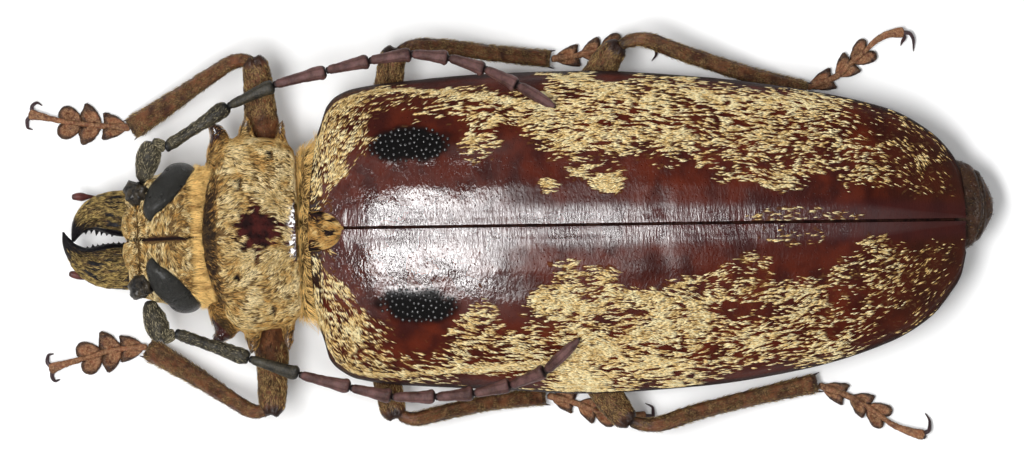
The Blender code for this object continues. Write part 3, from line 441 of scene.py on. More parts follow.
def growCoat(name, ground, coat, grow, unwrap):
    # coat: candidates, seed, lengths, widths, and how far middle and tip stand off the skin
    # grow(points, normals, mark) gives each hair's chance, lie, relative length, lift and tone
    draw = np.random.default_rng(coat["seed"])
    points, normals, mark = ground.scatter(coat["candidates"], draw)
    chance, lie, *rest = grow(points, normals, mark)
    lie = np.stack(np.broadcast_arrays(*lie), 1)
    longer, lift, tone = (np.broadcast_to(part, len(points)) for part in rest)
    tone = np.clip(tone, 0.02, 1)
    keep = draw.random(len(points)) < chance
    points, normals, lie = points[keep], normals[keep], lie[keep]
    longer, lift, tone = longer[keep], lift[keep], tone[keep]
    count = len(points)
    lie = lie - normals * (lie * normals).sum(1)[:, None]
    lie /= np.maximum(np.linalg.norm(lie, axis=1), 1e-6)[:, None]
    lengths = draw.uniform(*coat["lengths"], count) * longer
    widths = draw.uniform(*coat["widths"], count)
    across = np.cross(normals, lie)
    bend = draw.normal(0, coat["bend"], count)
    middle = ground.laid(points + (lie + across * (bend * 0.25)[:, None]) * (lengths * 0.5)[:, None])
    tips = ground.laid(points + (lie + across * bend[:, None]) * lengths[:, None])
    stands = np.array(coat["stands"]) * draw.uniform(0.6, 1.4, (count, 1)) * lift[:, None]
    roots = points - normals * hairSink
    middle = middle + normals * stands[:, :1]
    tips = tips + normals * stands[:, 1:] + lie * (stands[:, 1:] * 0.3)

    def onLine(f):
        return roots * (1 - f) ** 2 + (2 * middle - (roots + tips) / 2) * 2 * f * (1 - f) + tips * f * f

    rings = coat.get("rings", oneRing)
    layers = [roots[:, None]]
    alongs, sides = [0.0], [0.0]
    for f, share in rings:
        centre, half = onLine(f), widths[:, None] / 2 * share
        layers.append(
            np.stack([centre - across * half, centre + across * half, centre + normals * half * 0.8], 1)
        )
        alongs += [f] * 3
        sides += [-1.0, 1.0, 0.0]
    layers.append(tips[:, None])
    alongs.append(1.0)
    sides.append(0.0)
    corners = np.concatenate(layers, 1)
    per = corners.shape[1]
    faces = [(0, 1 + (k + 1) % 3, 1 + k) for k in range(3)]
    for ring in range(len(rings) - 1):
        low, high = 1 + 3 * ring, 4 + 3 * ring
        for k in range(3):
            after = (k + 1) % 3
            faces += [(low + k, low + after, high + after), (low + k, high + after, high + k)]
    last = per - 4
    faces += [(last + k, last + (k + 1) % 3, per - 1) for k in range(3)]
    faces = np.array(faces)[:, ::-1]
    loops = (np.arange(count)[:, None, None] * per + faces[None]).reshape(-1)
    mesh = bpy.data.meshes.new(name)
    mesh.vertices.add(count * per)
    mesh.vertices.foreach_set("co", (corners.reshape(-1, 3) * mm).ravel())
    mesh.loops.add(len(loops))
    mesh.loops.foreach_set("vertex_index", loops.astype(np.int32))
    mesh.polygons.add(len(loops) // 3)
    mesh.polygons.foreach_set("loop_start", np.arange(0, len(loops), 3, dtype=np.int32))
    mesh.polygons.foreach_set("use_smooth", np.ones(len(loops) // 3, bool))
    mesh.update(calc_edges=True)
    piece = bpy.data.objects.new(name, mesh)
    bpy.context.scene.collection.objects.link(piece)
    setMark(piece, "along", np.tile(alongs, count))
    setMark(piece, "tone", np.repeat(tone, per))
    spots = np.clip(unwrap(points), bakePatch, 1 - bakePatch)
    inPatch = np.stack([np.array(sides) / 2, np.array(alongs) - 0.5], 1) * bakePatch
    spread = (spots[:, None] + inPatch[None]).reshape(-1, 2)
    layer = mesh.uv_layers.new(name="OFBake")
    layer.data.foreach_set("uv", spread[loops].ravel().astype(np.float32))
    print("coat", name, count, "hairs,", len(loops) // 3, "triangles")
    return piece


# Camera, floor and light

studio = {
    "lens": 700,              # a long lens, as the photo looks straight down with hardly any perspective
    "frameWidth": 109.87,     # what the photo's width takes in at the body's height
    "focusHeight": 12.0,
    "middle": (-0.595, 0.2755),
    "turn": 89.21,
    "floorSize": 4000,
    # lamps: place, span, power, shape; the long one draws the thin glare along the suture
    "lamps": {
        "key": ((50, -128, 600), (280, 150), 3.3, "ELLIPSE"),
        "keyTail": ((6, 72, 600), (64, 200), 0.5, "ELLIPSE"),
        "rightFill": ((-800, -150, 420), (900, 1300), 2.4, "RECTANGLE"),
        "leftFill": ((800, -150, 420), (900, 1300), 2.4, "RECTANGLE"),
        "headFill": ((0, -900, 480), (1000, 800), 2.0, "RECTANGLE"),
        "tailFill": ((0, 900, 480), (1000, 800), 1.5, "RECTANGLE"),
    },
    "worldStrength": 0.1,
}


def makeStudio():
    camera = bpy.data.objects.new("camera", bpy.data.cameras.new("camera"))
    bpy.context.scene.collection.objects.link(camera)
    camera.data.lens = studio["lens"]
    distance = studio["frameWidth"] * studio["lens"] / camera.data.sensor_width
    camera.location = (*(Vector(studio["middle"]) * mm), (studio["focusHeight"] + distance) * mm)
    camera.rotation_euler = (0, 0, math.radians(studio["turn"]))
    camera.data.clip_start = 0.1
    camera.data.clip_end = 20
    bpy.context.scene.camera = camera

    bpy.ops.mesh.primitive_plane_add(size=studio["floorSize"] * mm)
    floor = bpy.context.active_object
    floor.name = "floor"
    material, place, wire = newFinish("paperWhite", Roughness=0.9, Specular_IOR_Level=0.1)
    wire(Base_Color=place.grain(40).step(0.2, 0.8).blend((0.93, 0.93, 0.93), (0.96, 0.96, 0.955)))
    floor.data.materials.append(material)

    aim = Vector((0, 0, 8))
    for name, (where, span, power, shape) in studio["lamps"].items():
        light = bpy.data.lights.new(name, "AREA")
        light.shape = shape
        light.size, light.size_y = span[0] * mm, span[1] * mm
        light.energy = power
        thing = bpy.data.objects.new(name, light)
        bpy.context.scene.collection.objects.link(thing)
        thing.location = Vector(where) * mm
        thing.rotation_euler = (Vector(where) - aim).to_track_quat("Z", "Y").to_euler()
        thing.visible_camera = False
    world = bpy.data.worlds.new("paleRoom")
    bpy.context.scene.world = world
    world.use_nodes = True
    world.node_tree.nodes["Background"].inputs["Color"].default_value = (0.93, 0.95, 1.0, 1)
    world.node_tree.nodes["Background"].inputs["Strength"].default_value = studio["worldStrength"]
    bpy.context.scene.view_settings.view_transform = "Standard"
    print("studio ready")


makeStudio()


# Wing cases

wing = {
    "along": 270,
    "across": 84,
    "wall": 0.6,
    "edgeRound": 0.1,
    "shieldRoom": 0.12,
    # where the gold begins, as a share of the way from suture to rim, by place along the body
    "goldEdge": {
        right: (
            (-20.6, 0.02), (-19.2, 0.1), (-18.2, 0.35), (-17, 0.46), (-15.4, 0.5), (-14.6, 0.68), (-8, 0.74),
            (-5, 0.68), (-1, 0.66), (2, 0.56), (5, 0.42), (8, 0.36), (11, 0.36), (14, 0.42), (18, 0.42),
            (20, 0.36), (23, 0.3), (27, 0.27), (31, 0.3), (34, 0.36), (37, 0.3), (41, 0.25), (49, 0.3),
        ),
        left: (
            (-20.6, 0.02), (-19.2, 0.1), (-18.2, 0.35), (-17, 0.47), (-15.4, 0.5), (-14.6, 0.62), (-8, 0.66),
            (-4, 0.54), (0, 0.6), (3, 0.42), (4.5, 0.28), (9, 0.27), (12, 0.35), (15, 0.36), (18, 0.34),
            (22, 0.3), (26, 0.24), (28, 0.32), (33, 0.34), (37, 0.25), (40, 0.2), (49, 0.28),
        ),
    },
    "goldAmount": (
        (-20.6, 0.6), (-18.6, 0.72), (-16.4, 0.66), (-14.8, 0.46), (-11, 0.38), (-8, 0.4), (-4, 0.5),
        (0, 0.56),
        (4, 0.66), (6.5, 0.84), (12, 0.8), (18, 0.72), (24, 0.62), (30, 0.6), (35, 0.5), (39, 0.4), (43, 0.3),
        (46, 0.2), (48, 0.06), (49, 0.01),
    ),
    # gold spots and bare spots: place along, share across, their reaches, strength
    "goldSpots": {
        right: (
            (4.6, 0.27, 0.9, 0.06, 0.75), (10.6, 0.27, 1.7, 0.075, 1.0), (-3.2, 0.53, 1.7, 0.1, 0.8),
            (32, 0.05, 5.5, 0.05, 0.4),
        ),
        left: ((-3.2, 0.57, 1.8, 0.12, 0.75), (30.5, 0.1, 3.5, 0.06, 0.25), (26, 0.24, 2, 0.07, 0.5)),
    },
    "bareSpots": {
        right: (
            (11.6, 0.99, 2.6, 0.06, 1.0), (24.5, 1.0, 4.0, 0.07, 0.9), (-6, 0.97, 6.5, 0.05, 1.0),
            (1.0, 0.93, 3.0, 0.07, 1.0), (39.5, 0.86, 3, 0.16, 0.75), (17, 0.36, 2.4, 0.09, 0.7),
            (-19.4, 0.25, 0.6, 0.07, 0.95), (-12, 0.72, 3.5, 0.07, 0.75), (-6.5, 0.7, 3, 0.06, 0.8),
            (-12.5, 0.82, 4.5, 0.12, 0.45),
        ),
        left: (
            (14.5, 1.0, 2.2, 0.06, 0.8), (25.5, 0.98, 5.5, 0.075, 0.95), (-1.5, 0.97, 5, 0.055, 1.0),
            (-10, 0.73, 3.4, 0.05, 0.9), (25, 0.56, 2.6, 0.06, 0.8), (36.5, 0.56, 2.2, 0.12, 0.75),
            (40, 0.87, 3, 0.14, 0.7), (8.5, 0.42, 1.4, 0.035, 0.6), (-19.6, 0.27, 0.55, 0.07, 0.95),
        ),
    },
    # the gold line inside the rim, near the shoulder
    "goldLine": {
        right: ((-18.6, 0.985), (-12, 0.945), (-7, 0.895), (-2, 0.835), (2, 0.79), (6, 0.75)),
        left: ((-18.6, 0.98), (-12, 0.935), (-7, 0.9), (-2, 0.87), (2, 0.84), (6, 0.8)),
    },
    # black grainy patch behind the shoulder: place along, share across, reaches
    "shoulder": {right: (-10.6, 0.56, 4.3, 0.115), left: (-9.9, 0.49, 4.2, 0.105)},
    # the tongue in the seam: its grid, rear end, depth below the crown, fall at its sides, and wall
    "tongue": {"grid": (260, 6), "end": 48.4, "depth": 0.3, "fall": 0.2, "wall": 0.2, "breadth": 0.75},
    "grains": {"tries": 4000, "apart": 0.48, "radii": (0.14, 0.23), "lift": 0.04},
    "hairs": {
        "candidates": 110000, "lengths": (0.45, 0.8), "widths": (0.06, 0.1), "stands": (0.04, 0.07),
        "bend": 0.12,
    },
}


def caseHalf(side, y):
    return curveThrough(body["caseOutline"], 1 if side == right else 2, y)


def shieldWidth(y):
    front, back = body["shieldEnds"]
    share = np.clip((y - front) / (back - front), 0, 1)
    return np.where(y < back, body["shieldHalf"] * np.sqrt(np.clip(1 - share ** 3, 0, 1)), 0)


def caseHeight(side, reach, y):
    crown = curveThrough(body["caseHeights"], 1, y)
    rim = curveThrough(body["caseHeights"], 2, y)
    width = caseHalf(side, y) - body["caseGap"] / 2
    power = body["casePower"]
    return rim + (crown - rim) * np.clip(1 - (reach / width) ** power, 0, 1) ** (1 / power)


def casePoint(side, y, share):
    # a point of a case's outer face; share 0 is its inner edge and 1 its rim
    half = caseHalf(side, y)
    width = half - body["caseGap"] / 2
    inner = shieldWidth(y) + side * body["shieldOffset"] + wing["shieldRoom"] - body["caseGap"] / 2
    inner = np.where(y < body["shieldEnds"][1], np.maximum(inner, 0), 0)
    power = body["casePower"]
    start = np.arcsin(np.clip(inner / width, 0, 1) ** (power / 2))
    turn = start + (math.pi / 2 - start) * share
    reach = width * np.sin(turn) ** (2 / power)
    crown = curveThrough(body["caseHeights"], 1, y)
    rim = curveThrough(body["caseHeights"], 2, y)
    z = rim + (crown - rim) * np.clip(np.cos(turn), 0, 1) ** (2 / power)
    first = body["caseOutline"][0][0]
    front = np.clip(1 - (y - first) / body["caseBowLength"], 0, 1)
    back = y - body["caseBow"] * front * (1 - (reach / half) ** 2)
    x = body["suture"] + side * (body["caseGap"] / 2 + reach)
    return np.stack([x, back, z], -1)


def caseShare(side, points):
    # place along, and share of the way from suture to rim seen from above
    y = points[:, 1]
    return y, np.clip((points[:, 0] - body["suture"]) * side / caseHalf(side, y), 0, 1)


def clumped(points, cover, size, stretch, shift):
    # small strokes that fill this share of each place
    cover = np.clip(cover, 0.002, 0.998)
    level = 0.16 * np.log((1 - cover) / cover)
    return ease(-0.07, 0.07, cloud(points, size, 2, stretch, shift) - level)


def caseGold(side, points):
    y, share = caseShare(side, points)
    wide = cloud(points, 3.2, 3, (0.8, 1.5, 1))
    edge = curveThrough(wing["goldEdge"][side], 1, y)
    amount = curveThrough(wing["goldAmount"], 1, y)
    gold = amount * ease(-0.05, 0.07, share - edge + wide * 0.11)
    for spot in wing["goldSpots"][side]:
        gold = np.maximum(gold, blot(y + wide * 1.2, share + wide * 0.04, spot))
    for spot in wing["bareSpots"][side]:
        gold = gold * (1 - blot(y + wide * 1.5, share + wide * 0.05, spot))
    gold = clumped(points, gold + wide * gold * 0.7, 0.36, (0.6, 2.3, 1), 7.3)
    line = curveThrough(wing["goldLine"][side], 1, y)
    onLine = hump(share, line, 0.017 + 0.02 * ease(-12, 4, y)) * ease(-20, -17, y) * ease(8, 3, y)
    gold = np.maximum(gold, onLine * 0.95)
    return gold * ease(1.0, 0.985, share)


def shoulderPatch(side, points):
    y, share = caseShare(side, points)
    spot = wing["shoulder"][side]
    ragged = cloud(points, 1.6, 2, shift=3.1)
    return ease(1.25, 0.8, np.hypot((y - spot[0]) / spot[2], (share - spot[1]) / spot[3]) + ragged * 0.25)


def makeWingFinish():
    material, place, wire = newFinish("mahoganyShell", IOR=1.55, Specular_IOR_Level=0.6)
    gold, black = readMark(place, "gold"), readMark(place, "black")
    rim, suture, flank = readMark(place, "rim"), readMark(place, "suture"), readMark(place, "flank")
    mottle = place.grain(2.6, 3).step()
    fleck = place.grain(0.35, 2, stretch=(0.6, 2.2, 1))
    rear = place.node("SeparateXYZ", {}, {0: place}, 1).step(0.035, 0.047)
    shell = mottle.blend((0.032, 0.0045, 0.0025), (0.088, 0.0125, 0.004))
    shell = (place.grain(9, 2).step(0.35, 0.7) * 0.5).blend(shell, (0.032, 0.006, 0.005))
    shell = (rear * 0.6).blend(shell, (0.03, 0.011, 0.006))
    shell = (suture * 0.5).blend(shell, (0.04, 0.01, 0.012))
    shell = (rim * 0.9).blend(shell, (0.012, 0.004, 0.003))
    shell = black.blend(shell, (0.004, 0.0035, 0.0035))
    down = (gold * fleck.step(0.3, 0.62)).step(0.12, 0.6)
    under = place.grain(0.2, 2, stretch=(0.5, 3, 1)).step().blend((0.1, 0.045, 0.015), (0.3, 0.17, 0.06))
    cover = (down * 0.2).blend(shell, under)
    wire(Base_Color=cover)
    wire(Roughness=down * 0.4 + flank * 0.12 + rear * 0.2 + place.grain(1.2).step() * 0.06 + 0.12)
    pits = place.cells(0.45).step(0.04, 0.22)
    ripple = place.grain(0.3, 3, 0.65, stretch=(5, 1, 3)).step()
    wrinkle = place.grain(0.42, 3, 0.6, stretch=(1.4, 0.8, 1)).step()
    height = pits * (1 - suture) * 0.8 + ripple * suture * 0.36 + wrinkle * (1 - suture * 0.8) * 0.28
    bumps = height.relief(0.07)
    hairs = place.grain(0.09, 2, stretch=(1, 7, 1)) * down
    surface = hairs.relief(0.07, bumps)
    wire(Normal=surface)
    dulled(material, flank * 0.95 + down + black * 0.9 + rear * 0.85, cover, surface)
    return material


def makeWingHairFinish():
    material, place, wire = newFinish("wingGold", Specular_IOR_Level=0.15)
    tone, along = readMark(place, "tone"), readMark(place, "along")
    shade = tone.ramp(
        (0.0, (0.09, 0.04, 0.015)), (0.25, (0.34, 0.19, 0.055)), (0.55, (0.86, 0.6, 0.23)),
        (1.0, (1.0, 0.89, 0.55)),
    )
    # the hairs darken towards their roots: painted shade deep in the coat
    roots = tone.ramp((0.0, (0.05, 0.02, 0.008)), (1.0, (0.4, 0.22, 0.07)))
    wire(Base_Color=along.step(0.0, 0.35).blend(roots, shade))
    wire(Roughness=place.grain(0.8) * 0.2 + 0.36)
    return material


wingFinish = makeWingFinish()
wingHairFinish = makeWingHairFinish()


def makeCase(side):
    word = sideWord[side]
    first, last = body["caseOutline"][0][0], body["caseOutline"][-1][0]

    def place(p, q):
        eased = 0.5 - 0.5 * np.cos(math.pi * p)
        return casePoint(side, first + (last - first) * (0.6 * p + 0.4 * eased), q)

    case = upwardSheet(word + "WingCase", wing["along"], wing["across"], place)
    points = pointsOf(case.data)
    y, share = caseShare(side, points)
    reach = (points[:, 0] - body["suture"]) * side - body["caseGap"] / 2
    toRim = (1 - share) * caseHalf(side, y)
    behindShield = ease(-17.9, -17.2, y)
    bead = hump(reach, 0.2, 0.24) * 0.06 - hump(reach, 0.62, 0.2) * 0.07
    rimBead = hump(toRim, 0.0, 0.22) * 0.05 - hump(toRim, 0.55, 0.28) * 0.1
    ribs = (
        sum(hump(share, middle, 0.05) * 0.05 for middle in (0.27, 0.47, 0.66)) * ease(-16, -8, y)
        * ease(46, 34, y)
    )
    waves = cloud(points, 5.0, 2) * 0.12 + cloud(points, 1.3, 2) * 0.022
    black = shoulderPatch(side, points)
    dent = -0.16 * hump(y, 15.5 + 4 * share, 1.2) * ease(0.02, 0.12, share) * ease(0.42, 0.3, share)
    shifted(case, bead * behindShield + rimBead + ribs + waves * ease(0.0, 0.8, toRim) + black * 0.07 + dent)
    points = pointsOf(case.data)
    setMark(case, "gold", caseGold(side, points))
    setMark(case, "black", black)
    calm = 0.85 * ease(-4, 3, y) * ease(0.07, 0.16, share)
    setMark(case, "flank", np.maximum(ease(0.42, 0.64, share), calm))
    setMark(case, "rim", np.maximum(ease(0.5, 0.15, toRim), ease(-19.9, -20.5, y)))
    setMark(case, "suture", ease(2.6, 0.9, reach) * behindShield + ease(0.28, 0.1, share) * 0.3)
    ground = Ground(case, "gold")

    def grow(spots, normals, mark):
        y, share = caseShare(side, spots)
        slope = (caseHalf(side, y + 0.5) - caseHalf(side, y - 0.5)) * share
        wave = cloud(spots, 2.2, 2, (1, 1.6, 1), 11.7)
        outward = (
            0.95 * ease(-13, -18, y) * ease(0.1, 0.4, share)
            + 0.45 * ease(0, -12, y) * ease(0.4, 0.6, share)
        )
        outward = outward - 0.5 * ease(36, 46, y) * share
        across = side * (slope * ease(47.5, 44, y) + outward + wave * 0.55)
        lie = np.stack([across, np.ones(len(y)), np.zeros(len(y))], 1)
        chance = ease(0.3, 0.8, caseGold(side, spots)) * ease(0.3, 0.8, caseGold(side, spots + lie * 0.38))
        tone = 0.76 + 0.4 * cloud(spots, 0.9, 2, shift=5.0) + noiseOf(spots) * 2.2
        tone = tone - 0.3 * ease(36, 46, y) - 0.16 * ease(-8, -16, y) * ease(0.6, 0.8, share)
        longer = 0.85 + 0.3 * mark - 0.15 * ease(36, 46, y)
        return chance, lie.T, longer, 1, tone

    def unwrap(spots):
        y, share = caseShare(side, spots)
        return np.stack([(y - first + 1) / (last - first + 2), 0.02 + 0.96 * share], 1)

    coat = growCoat(word + "WingHair", ground, {**wing["hairs"], "seed": 40 + side}, grow, unwrap)
    kept(coat, wingHairFinish, "wing_case")

    applied(case, "SOLIDIFY", thickness=wing["wall"] * mm, offset=-1, use_rim=True)
    applied(
        case, "BEVEL", width=wing["edgeRound"] * mm, segments=2, limit_method="ANGLE",
        angle_limit=math.radians(50),
    )
    smoothShaded(case, 35)
    kept(case, wingFinish, "wing_case", "elytron_" + word)


def noiseOf(spots):
    # an even draw for each place, the same in every run
    mixed = np.sin(spots @ np.array([127.1, 311.7, 74.7])) * 43758.5453
    return (mixed - np.floor(mixed)) * 0.3 - 0.15


def makeGrains(side):
    # round shining grains on the black patch behind the shoulder
    spot, grains = wing["shoulder"][side], wing["grains"]
    draw = np.random.default_rng(50 + side)
    ys = draw.uniform(-1, 1, grains["tries"]) * spot[2] + spot[0]
    shares = draw.uniform(-1, 1, grains["tries"]) * spot[3] * 1.1 + spot[1]
    found = []
    for y, share in zip(ys, shares):
        reach = share * caseHalf(side, y) - body["caseGap"] / 2
        point = np.array(
            [body["suture"] + side * (reach + body["caseGap"] / 2), y, caseHeight(side, reach, y)]
        )
        inside = np.hypot((y - spot[0]) / spot[2], (share - spot[1]) / spot[3]) < 1
        if inside and all(np.linalg.norm(point - other) > grains["apart"] for other in found):
            found.append(point)
    found = np.array(found)
    bpy.ops.mesh.primitive_uv_sphere_add(segments=8, ring_count=5, radius=mm)
    ball = bpy.context.active_object
    shape = pointsOf(ball.data)
    corners = [list(face.vertices) for face in ball.data.polygons]
    bpy.data.objects.remove(ball, do_unlink=True)
    sizes = draw.uniform(*grains["radii"], len(found))
    points = (found[:, None] + shape[None] * sizes[:, None, None] + [0, 0, grains["lift"]]).reshape(-1, 3)
    faces = [[k * len(shape) + corner for corner in face] for k in range(len(found)) for face in corners]
    mesh = bpy.data.meshes.new(sideWord[side] + "ShoulderGrains")
    mesh.from_pydata((points * mm).tolist(), [], faces)
    piece = bpy.data.objects.new(mesh.name, mesh)
    bpy.context.scene.collection.objects.link(piece)
    smoothShaded(piece, 180)
    kept(piece, grainFinish, "wing_case")


def makeSeam():
    # the dark tongue that closes the seam between the wing cases
    tongue, front = wing["tongue"], body["shieldEnds"][1]

    def place(p, q):
        y = front - 0.5 + (tongue["end"] - front) * p
        across = (q - 0.5) * 2
        crown = curveThrough(body["caseHeights"], 1, y)
        z = crown - tongue["depth"] - tongue["fall"] * np.abs(across) + 0.03 * np.sin(y * 9)
        return np.stack([body["suture"] + across * body["caseGap"] * tongue["breadth"], y, z], 1)

    seam = upwardSheet("sutureTongue", *tongue["grid"], place)
    applied(seam, "SOLIDIFY", thickness=tongue["wall"] * mm, offset=-1, use_rim=True)
    smoothShaded(seam, 40)
    material, place, wire = newFinish("seamBrown", Specular_IOR_Level=0.08)
    wire(Base_Color=place.grain(0.6, 2).step().blend((0.006, 0.002, 0.002), (0.03, 0.01, 0.006)))
    wire(Roughness=place.grain(0.5) * 0.1 + 0.75)
    kept(seam, material, "wing_case")


def makeGrainFinish():
    material, place, wire = newFinish("blackGrain", IOR=1.6, Specular_IOR_Level=0.9)
    wire(Base_Color=place.grain(0.5).step().blend((0.003, 0.003, 0.003), (0.012, 0.01, 0.01)))
    wire(Roughness=place.grain(0.8) * 0.1 + 0.15)
    return material


grainFinish = makeGrainFinish()

for side in (right, left):
    makeCase(side)
    makeGrains(side)
makeSeam()
print("wing cases ready")


# Sections of the body and drawn limbs

def ovalRing(q, half, top, rim, bottom, powers):
    # across and height of a section's points; q runs once round it from the crown
    sine, cosine = np.sin(2 * math.pi * q), np.cos(2 * math.pi * q)
    power = np.where(cosine > 0, *powers)
    x = half * np.sign(sine) * np.abs(sine) ** (2 / power)
    return x, rim + np.where(cosine > 0, top - rim, bottom - rim) * np.abs(cosine) ** (2 / power)


def closedSpan(p, margin):
    # share of the way along a closed form, and how far its two ends are drawn in
    share = np.clip(p * (1 + 2 * margin) - margin, 0, 1)
    return share, np.clip(np.minimum(p, 1 - p) / margin, 0, 1) ** 0.5


def formedBody(name, form):
    # a closed skin of the fore body through the form's sections, its two ends drawn in
    knots, rim, close = form["knots"], form["rim"], form["close"]

    def lay(p, q):
        share = np.clip((p - close) / (1 - 2 * close), 0, 1)
        y = knots[0][0] + (knots[-1][0] - knots[0][0]) * share
        half, top, bottom = (curveThrough(knots, column, y) for column in (1, 2, 3))
        x, z = ovalRing(q, half, top, rim, bottom, form["powers"])
        if "bow" in form:
            y = y + curveThrough(knots, form["bow"], y) * (x / half) ** 2
        pull = 1 - (1 - np.clip(np.minimum(p, 1 - p) / close, 0, 1)) ** 2 * form["draw"]
        return turned(np.stack([x * pull, y, rim + (z - rim) * pull], 1))

    return formedTube(name, *form["grid"], lay)


def breadthAt(halves, share):
    # a limb's half breadth at each share of its length
    return curveThrough(list(zip(np.linspace(0, 1, len(halves)), halves)), 1, share)


def pathFrames(path, halves, flatness, count, place=None):
    # centres and the two half breadths of each section along a smooth line
    full = np.column_stack([np.asarray(path, float), halves])
    drawn = smoothPath(full, count)
    centres = drawn[:, :3] if place is None else place(drawn[:, :3])
    forward = np.gradient(centres, axis=0)
    forward /= np.linalg.norm(forward, axis=1)[:, None]
    across = np.cross([0, 0, 1.0], forward)
    across /= np.maximum(np.linalg.norm(across, axis=1), 1e-6)[:, None]
    upward = np.cross(forward, across)
    return centres, forward, across * drawn[:, 3:4], upward * drawn[:, 3:4] * flatness


def drawnLimb(name, path, halves, flatness=1.0, sides=10, count=9, place=None, levels=2, round=0.35):
    # a flat disc drawn out along the path by extrusion, each section set square to it
    centres, forward, across, upward = pathFrames(path, halves, flatness, count, place)
    stations = []
    for k in range(count):
        size = np.linalg.norm(across[k])
        if k == 0:
            stations.append((centres[0] - forward[0] * size * round, across[0] * 0.55, upward[0] * 0.55))
        stations.append((centres[k], across[k], upward[k]))
        if k == count - 1:
            stations.append((centres[k] + forward[k] * size * round, across[k] * 0.55, upward[k] * 0.55))
    bpy.ops.mesh.primitive_circle_add(vertices=sides, radius=mm, fill_type="NGON")
    piece = bpy.context.active_object
    piece.name = piece.data.name = name
    bpy.ops.object.mode_set(mode="EDIT")
    flat = (np.zeros(3), np.array([1.0, 0, 0]), np.array([0, 1.0, 0]))
    for k, station in enumerate(stations):
        if k:
            bpy.ops.mesh.extrude_region_move()
        mesh = bmesh.from_edit_mesh(piece.data)
        before = stations[k - 1] if k else flat
        for vert in mesh.verts:
            if vert.select:
                offset = np.array(vert.co) / mm - before[0]
                a = offset @ before[1] / (before[1] @ before[1])
                b = offset @ before[2] / (before[2] @ before[2])
                vert.co = Vector(station[0] + station[1] * a + station[2] * b) * mm
        bmesh.update_edit_mesh(piece.data)
    bpy.ops.mesh.select_all(action="SELECT")
    bpy.ops.mesh.normals_make_consistent(inside=False)
    # extruding leaves the faces in no settled order, and the places of the hairs follow it
    bpy.ops.mesh.sort_elements(type="CURSOR_DISTANCE", elements={"VERT", "EDGE", "FACE"})
    bpy.ops.object.mode_set(mode="OBJECT")
    if levels:
        applied(piece, "SUBSURF", levels=levels, render_levels=levels)
    return piece


def alongPath(points, path, place=None):
    # for each point: its share along the path, and how far it lies across it and above it
    line = smoothPath(path, 80)[:, :3]
    line = line if place is None else place(line)
    gaps = np.linalg.norm(points[:, None] - line[None], axis=2)
    nearest = gaps.argmin(1)
    forward = np.gradient(line, axis=0)
    forward /= np.linalg.norm(forward, axis=1)[:, None]
    across = np.cross([0, 0, 1.0], forward)
    offset = points - line[nearest]
    return nearest / 79, (offset * across[nearest]).sum(1), offset[:, 2], forward[nearest]


def roundUnwrap(axisX, axisZ, first, last, place=None):
    # unrolls the skin round the body's long line
    def unwrap(spots):
        local = spots if place is None else place(spots)
        around = np.arctan2(local[:, 0] - axisX, local[:, 2] - axisZ) / (2 * math.pi) + 0.5
        return np.stack([(local[:, 1] - first) / (last - first), around], 1)
    return unwrap


def limbUnwrap(path, place=None):
    def unwrap(spots):
        share, side, height, _ = alongPath(spots, path, place)
        return np.stack([share, np.arctan2(side, height) / (2 * math.pi) + 0.5], 1)
    return unwrap


# Finishes of the hairy fore body

def makeFurSkinFinish():
    material, place, wire = newFinish("goldenSkin", IOR=1.55, Specular_IOR_Level=0.7)
    fur, dark, gloss = readMark(place, "fur"), readMark(place, "dark"), readMark(place, "gloss")
    shell = place.grain(1.1, 3).step().blend((0.01, 0.003, 0.003), (0.055, 0.01, 0.008))
    shell = dark.blend(shell, (0.012, 0.009, 0.008))
    down = place.grain(0.2, 3, 0.6, stretch=(1, 2.6, 1)).step(0.25, 0.75).blend(
        (0.035, 0.02, 0.01), (0.2, 0.12, 0.045),
    )
    covered = (fur + place.grain(0.5, 2) * 0.4 - 0.2).step()
    cover = (covered * 0.94).blend(shell, down)
    wire(Base_Color=cover)
    wire(Roughness=place.grain(0.6) * 0.12 + 0.16)
    pits = place.cells(0.3).step(0.0, 0.5) * (1 - covered)
    hairs = place.grain(0.1, 2, stretch=(1, 5, 1)) * covered
    surface = hairs.relief(0.1, pits.relief(0.05))
    wire(Normal=surface)
    dulled(material, 1 - gloss, cover, surface)
    return material


def makeFurFinish():
    # tone 0 to 0.2 is brown, about 0.4 orange gold, 0.7 gold and 1 pale gold
    material, place, wire = newFinish("goldenHair", Specular_IOR_Level=0.15)
    tone, along = readMark(place, "tone"), readMark(place, "along")
    shade = tone.ramp(
        (0.0, (0.03, 0.02, 0.012)), (0.2, (0.16, 0.09, 0.035)), (0.42, (0.66, 0.34, 0.085)),
        (0.62, (0.6, 0.41, 0.15)), (0.8, (0.82, 0.6, 0.26)), (1.0, (1.0, 0.83, 0.48)),
    )
    # the hairs darken towards their roots: painted shade deep in the coat
    roots = tone.ramp((0.0, (0.012, 0.007, 0.004)), (0.45, (0.2, 0.09, 0.02)), (1.0, (0.36, 0.24, 0.09)))
    wire(Base_Color=along.step(0.0, 0.42).blend(roots, shade))
    wire(Roughness=place.grain(0.6) * 0.2 + 0.4)
    return material


def makeHairFinish(name, low, high):
    material, place, wire = newFinish(name, Specular_IOR_Level=0.12)
    tone, along = readMark(place, "tone"), readMark(place, "along")
    shade = tone.step(0.1, 0.9).blend(low, high)
    # the roots take a darkened share of the low colour: painted shade deep in the coat
    wire(Base_Color=along.step(0.0, 0.5).blend(tuple(part * 0.4 for part in low), shade))
    wire(Roughness=place.grain(0.5) * 0.2 + 0.4)
    return material


furSkinFinish = makeFurSkinFinish()
furFinish = makeFurFinish()
orangeHairFinish = makeHairFinish("orangeHair", (0.28, 0.12, 0.025), (1.0, 0.68, 0.25))


# Prothorax

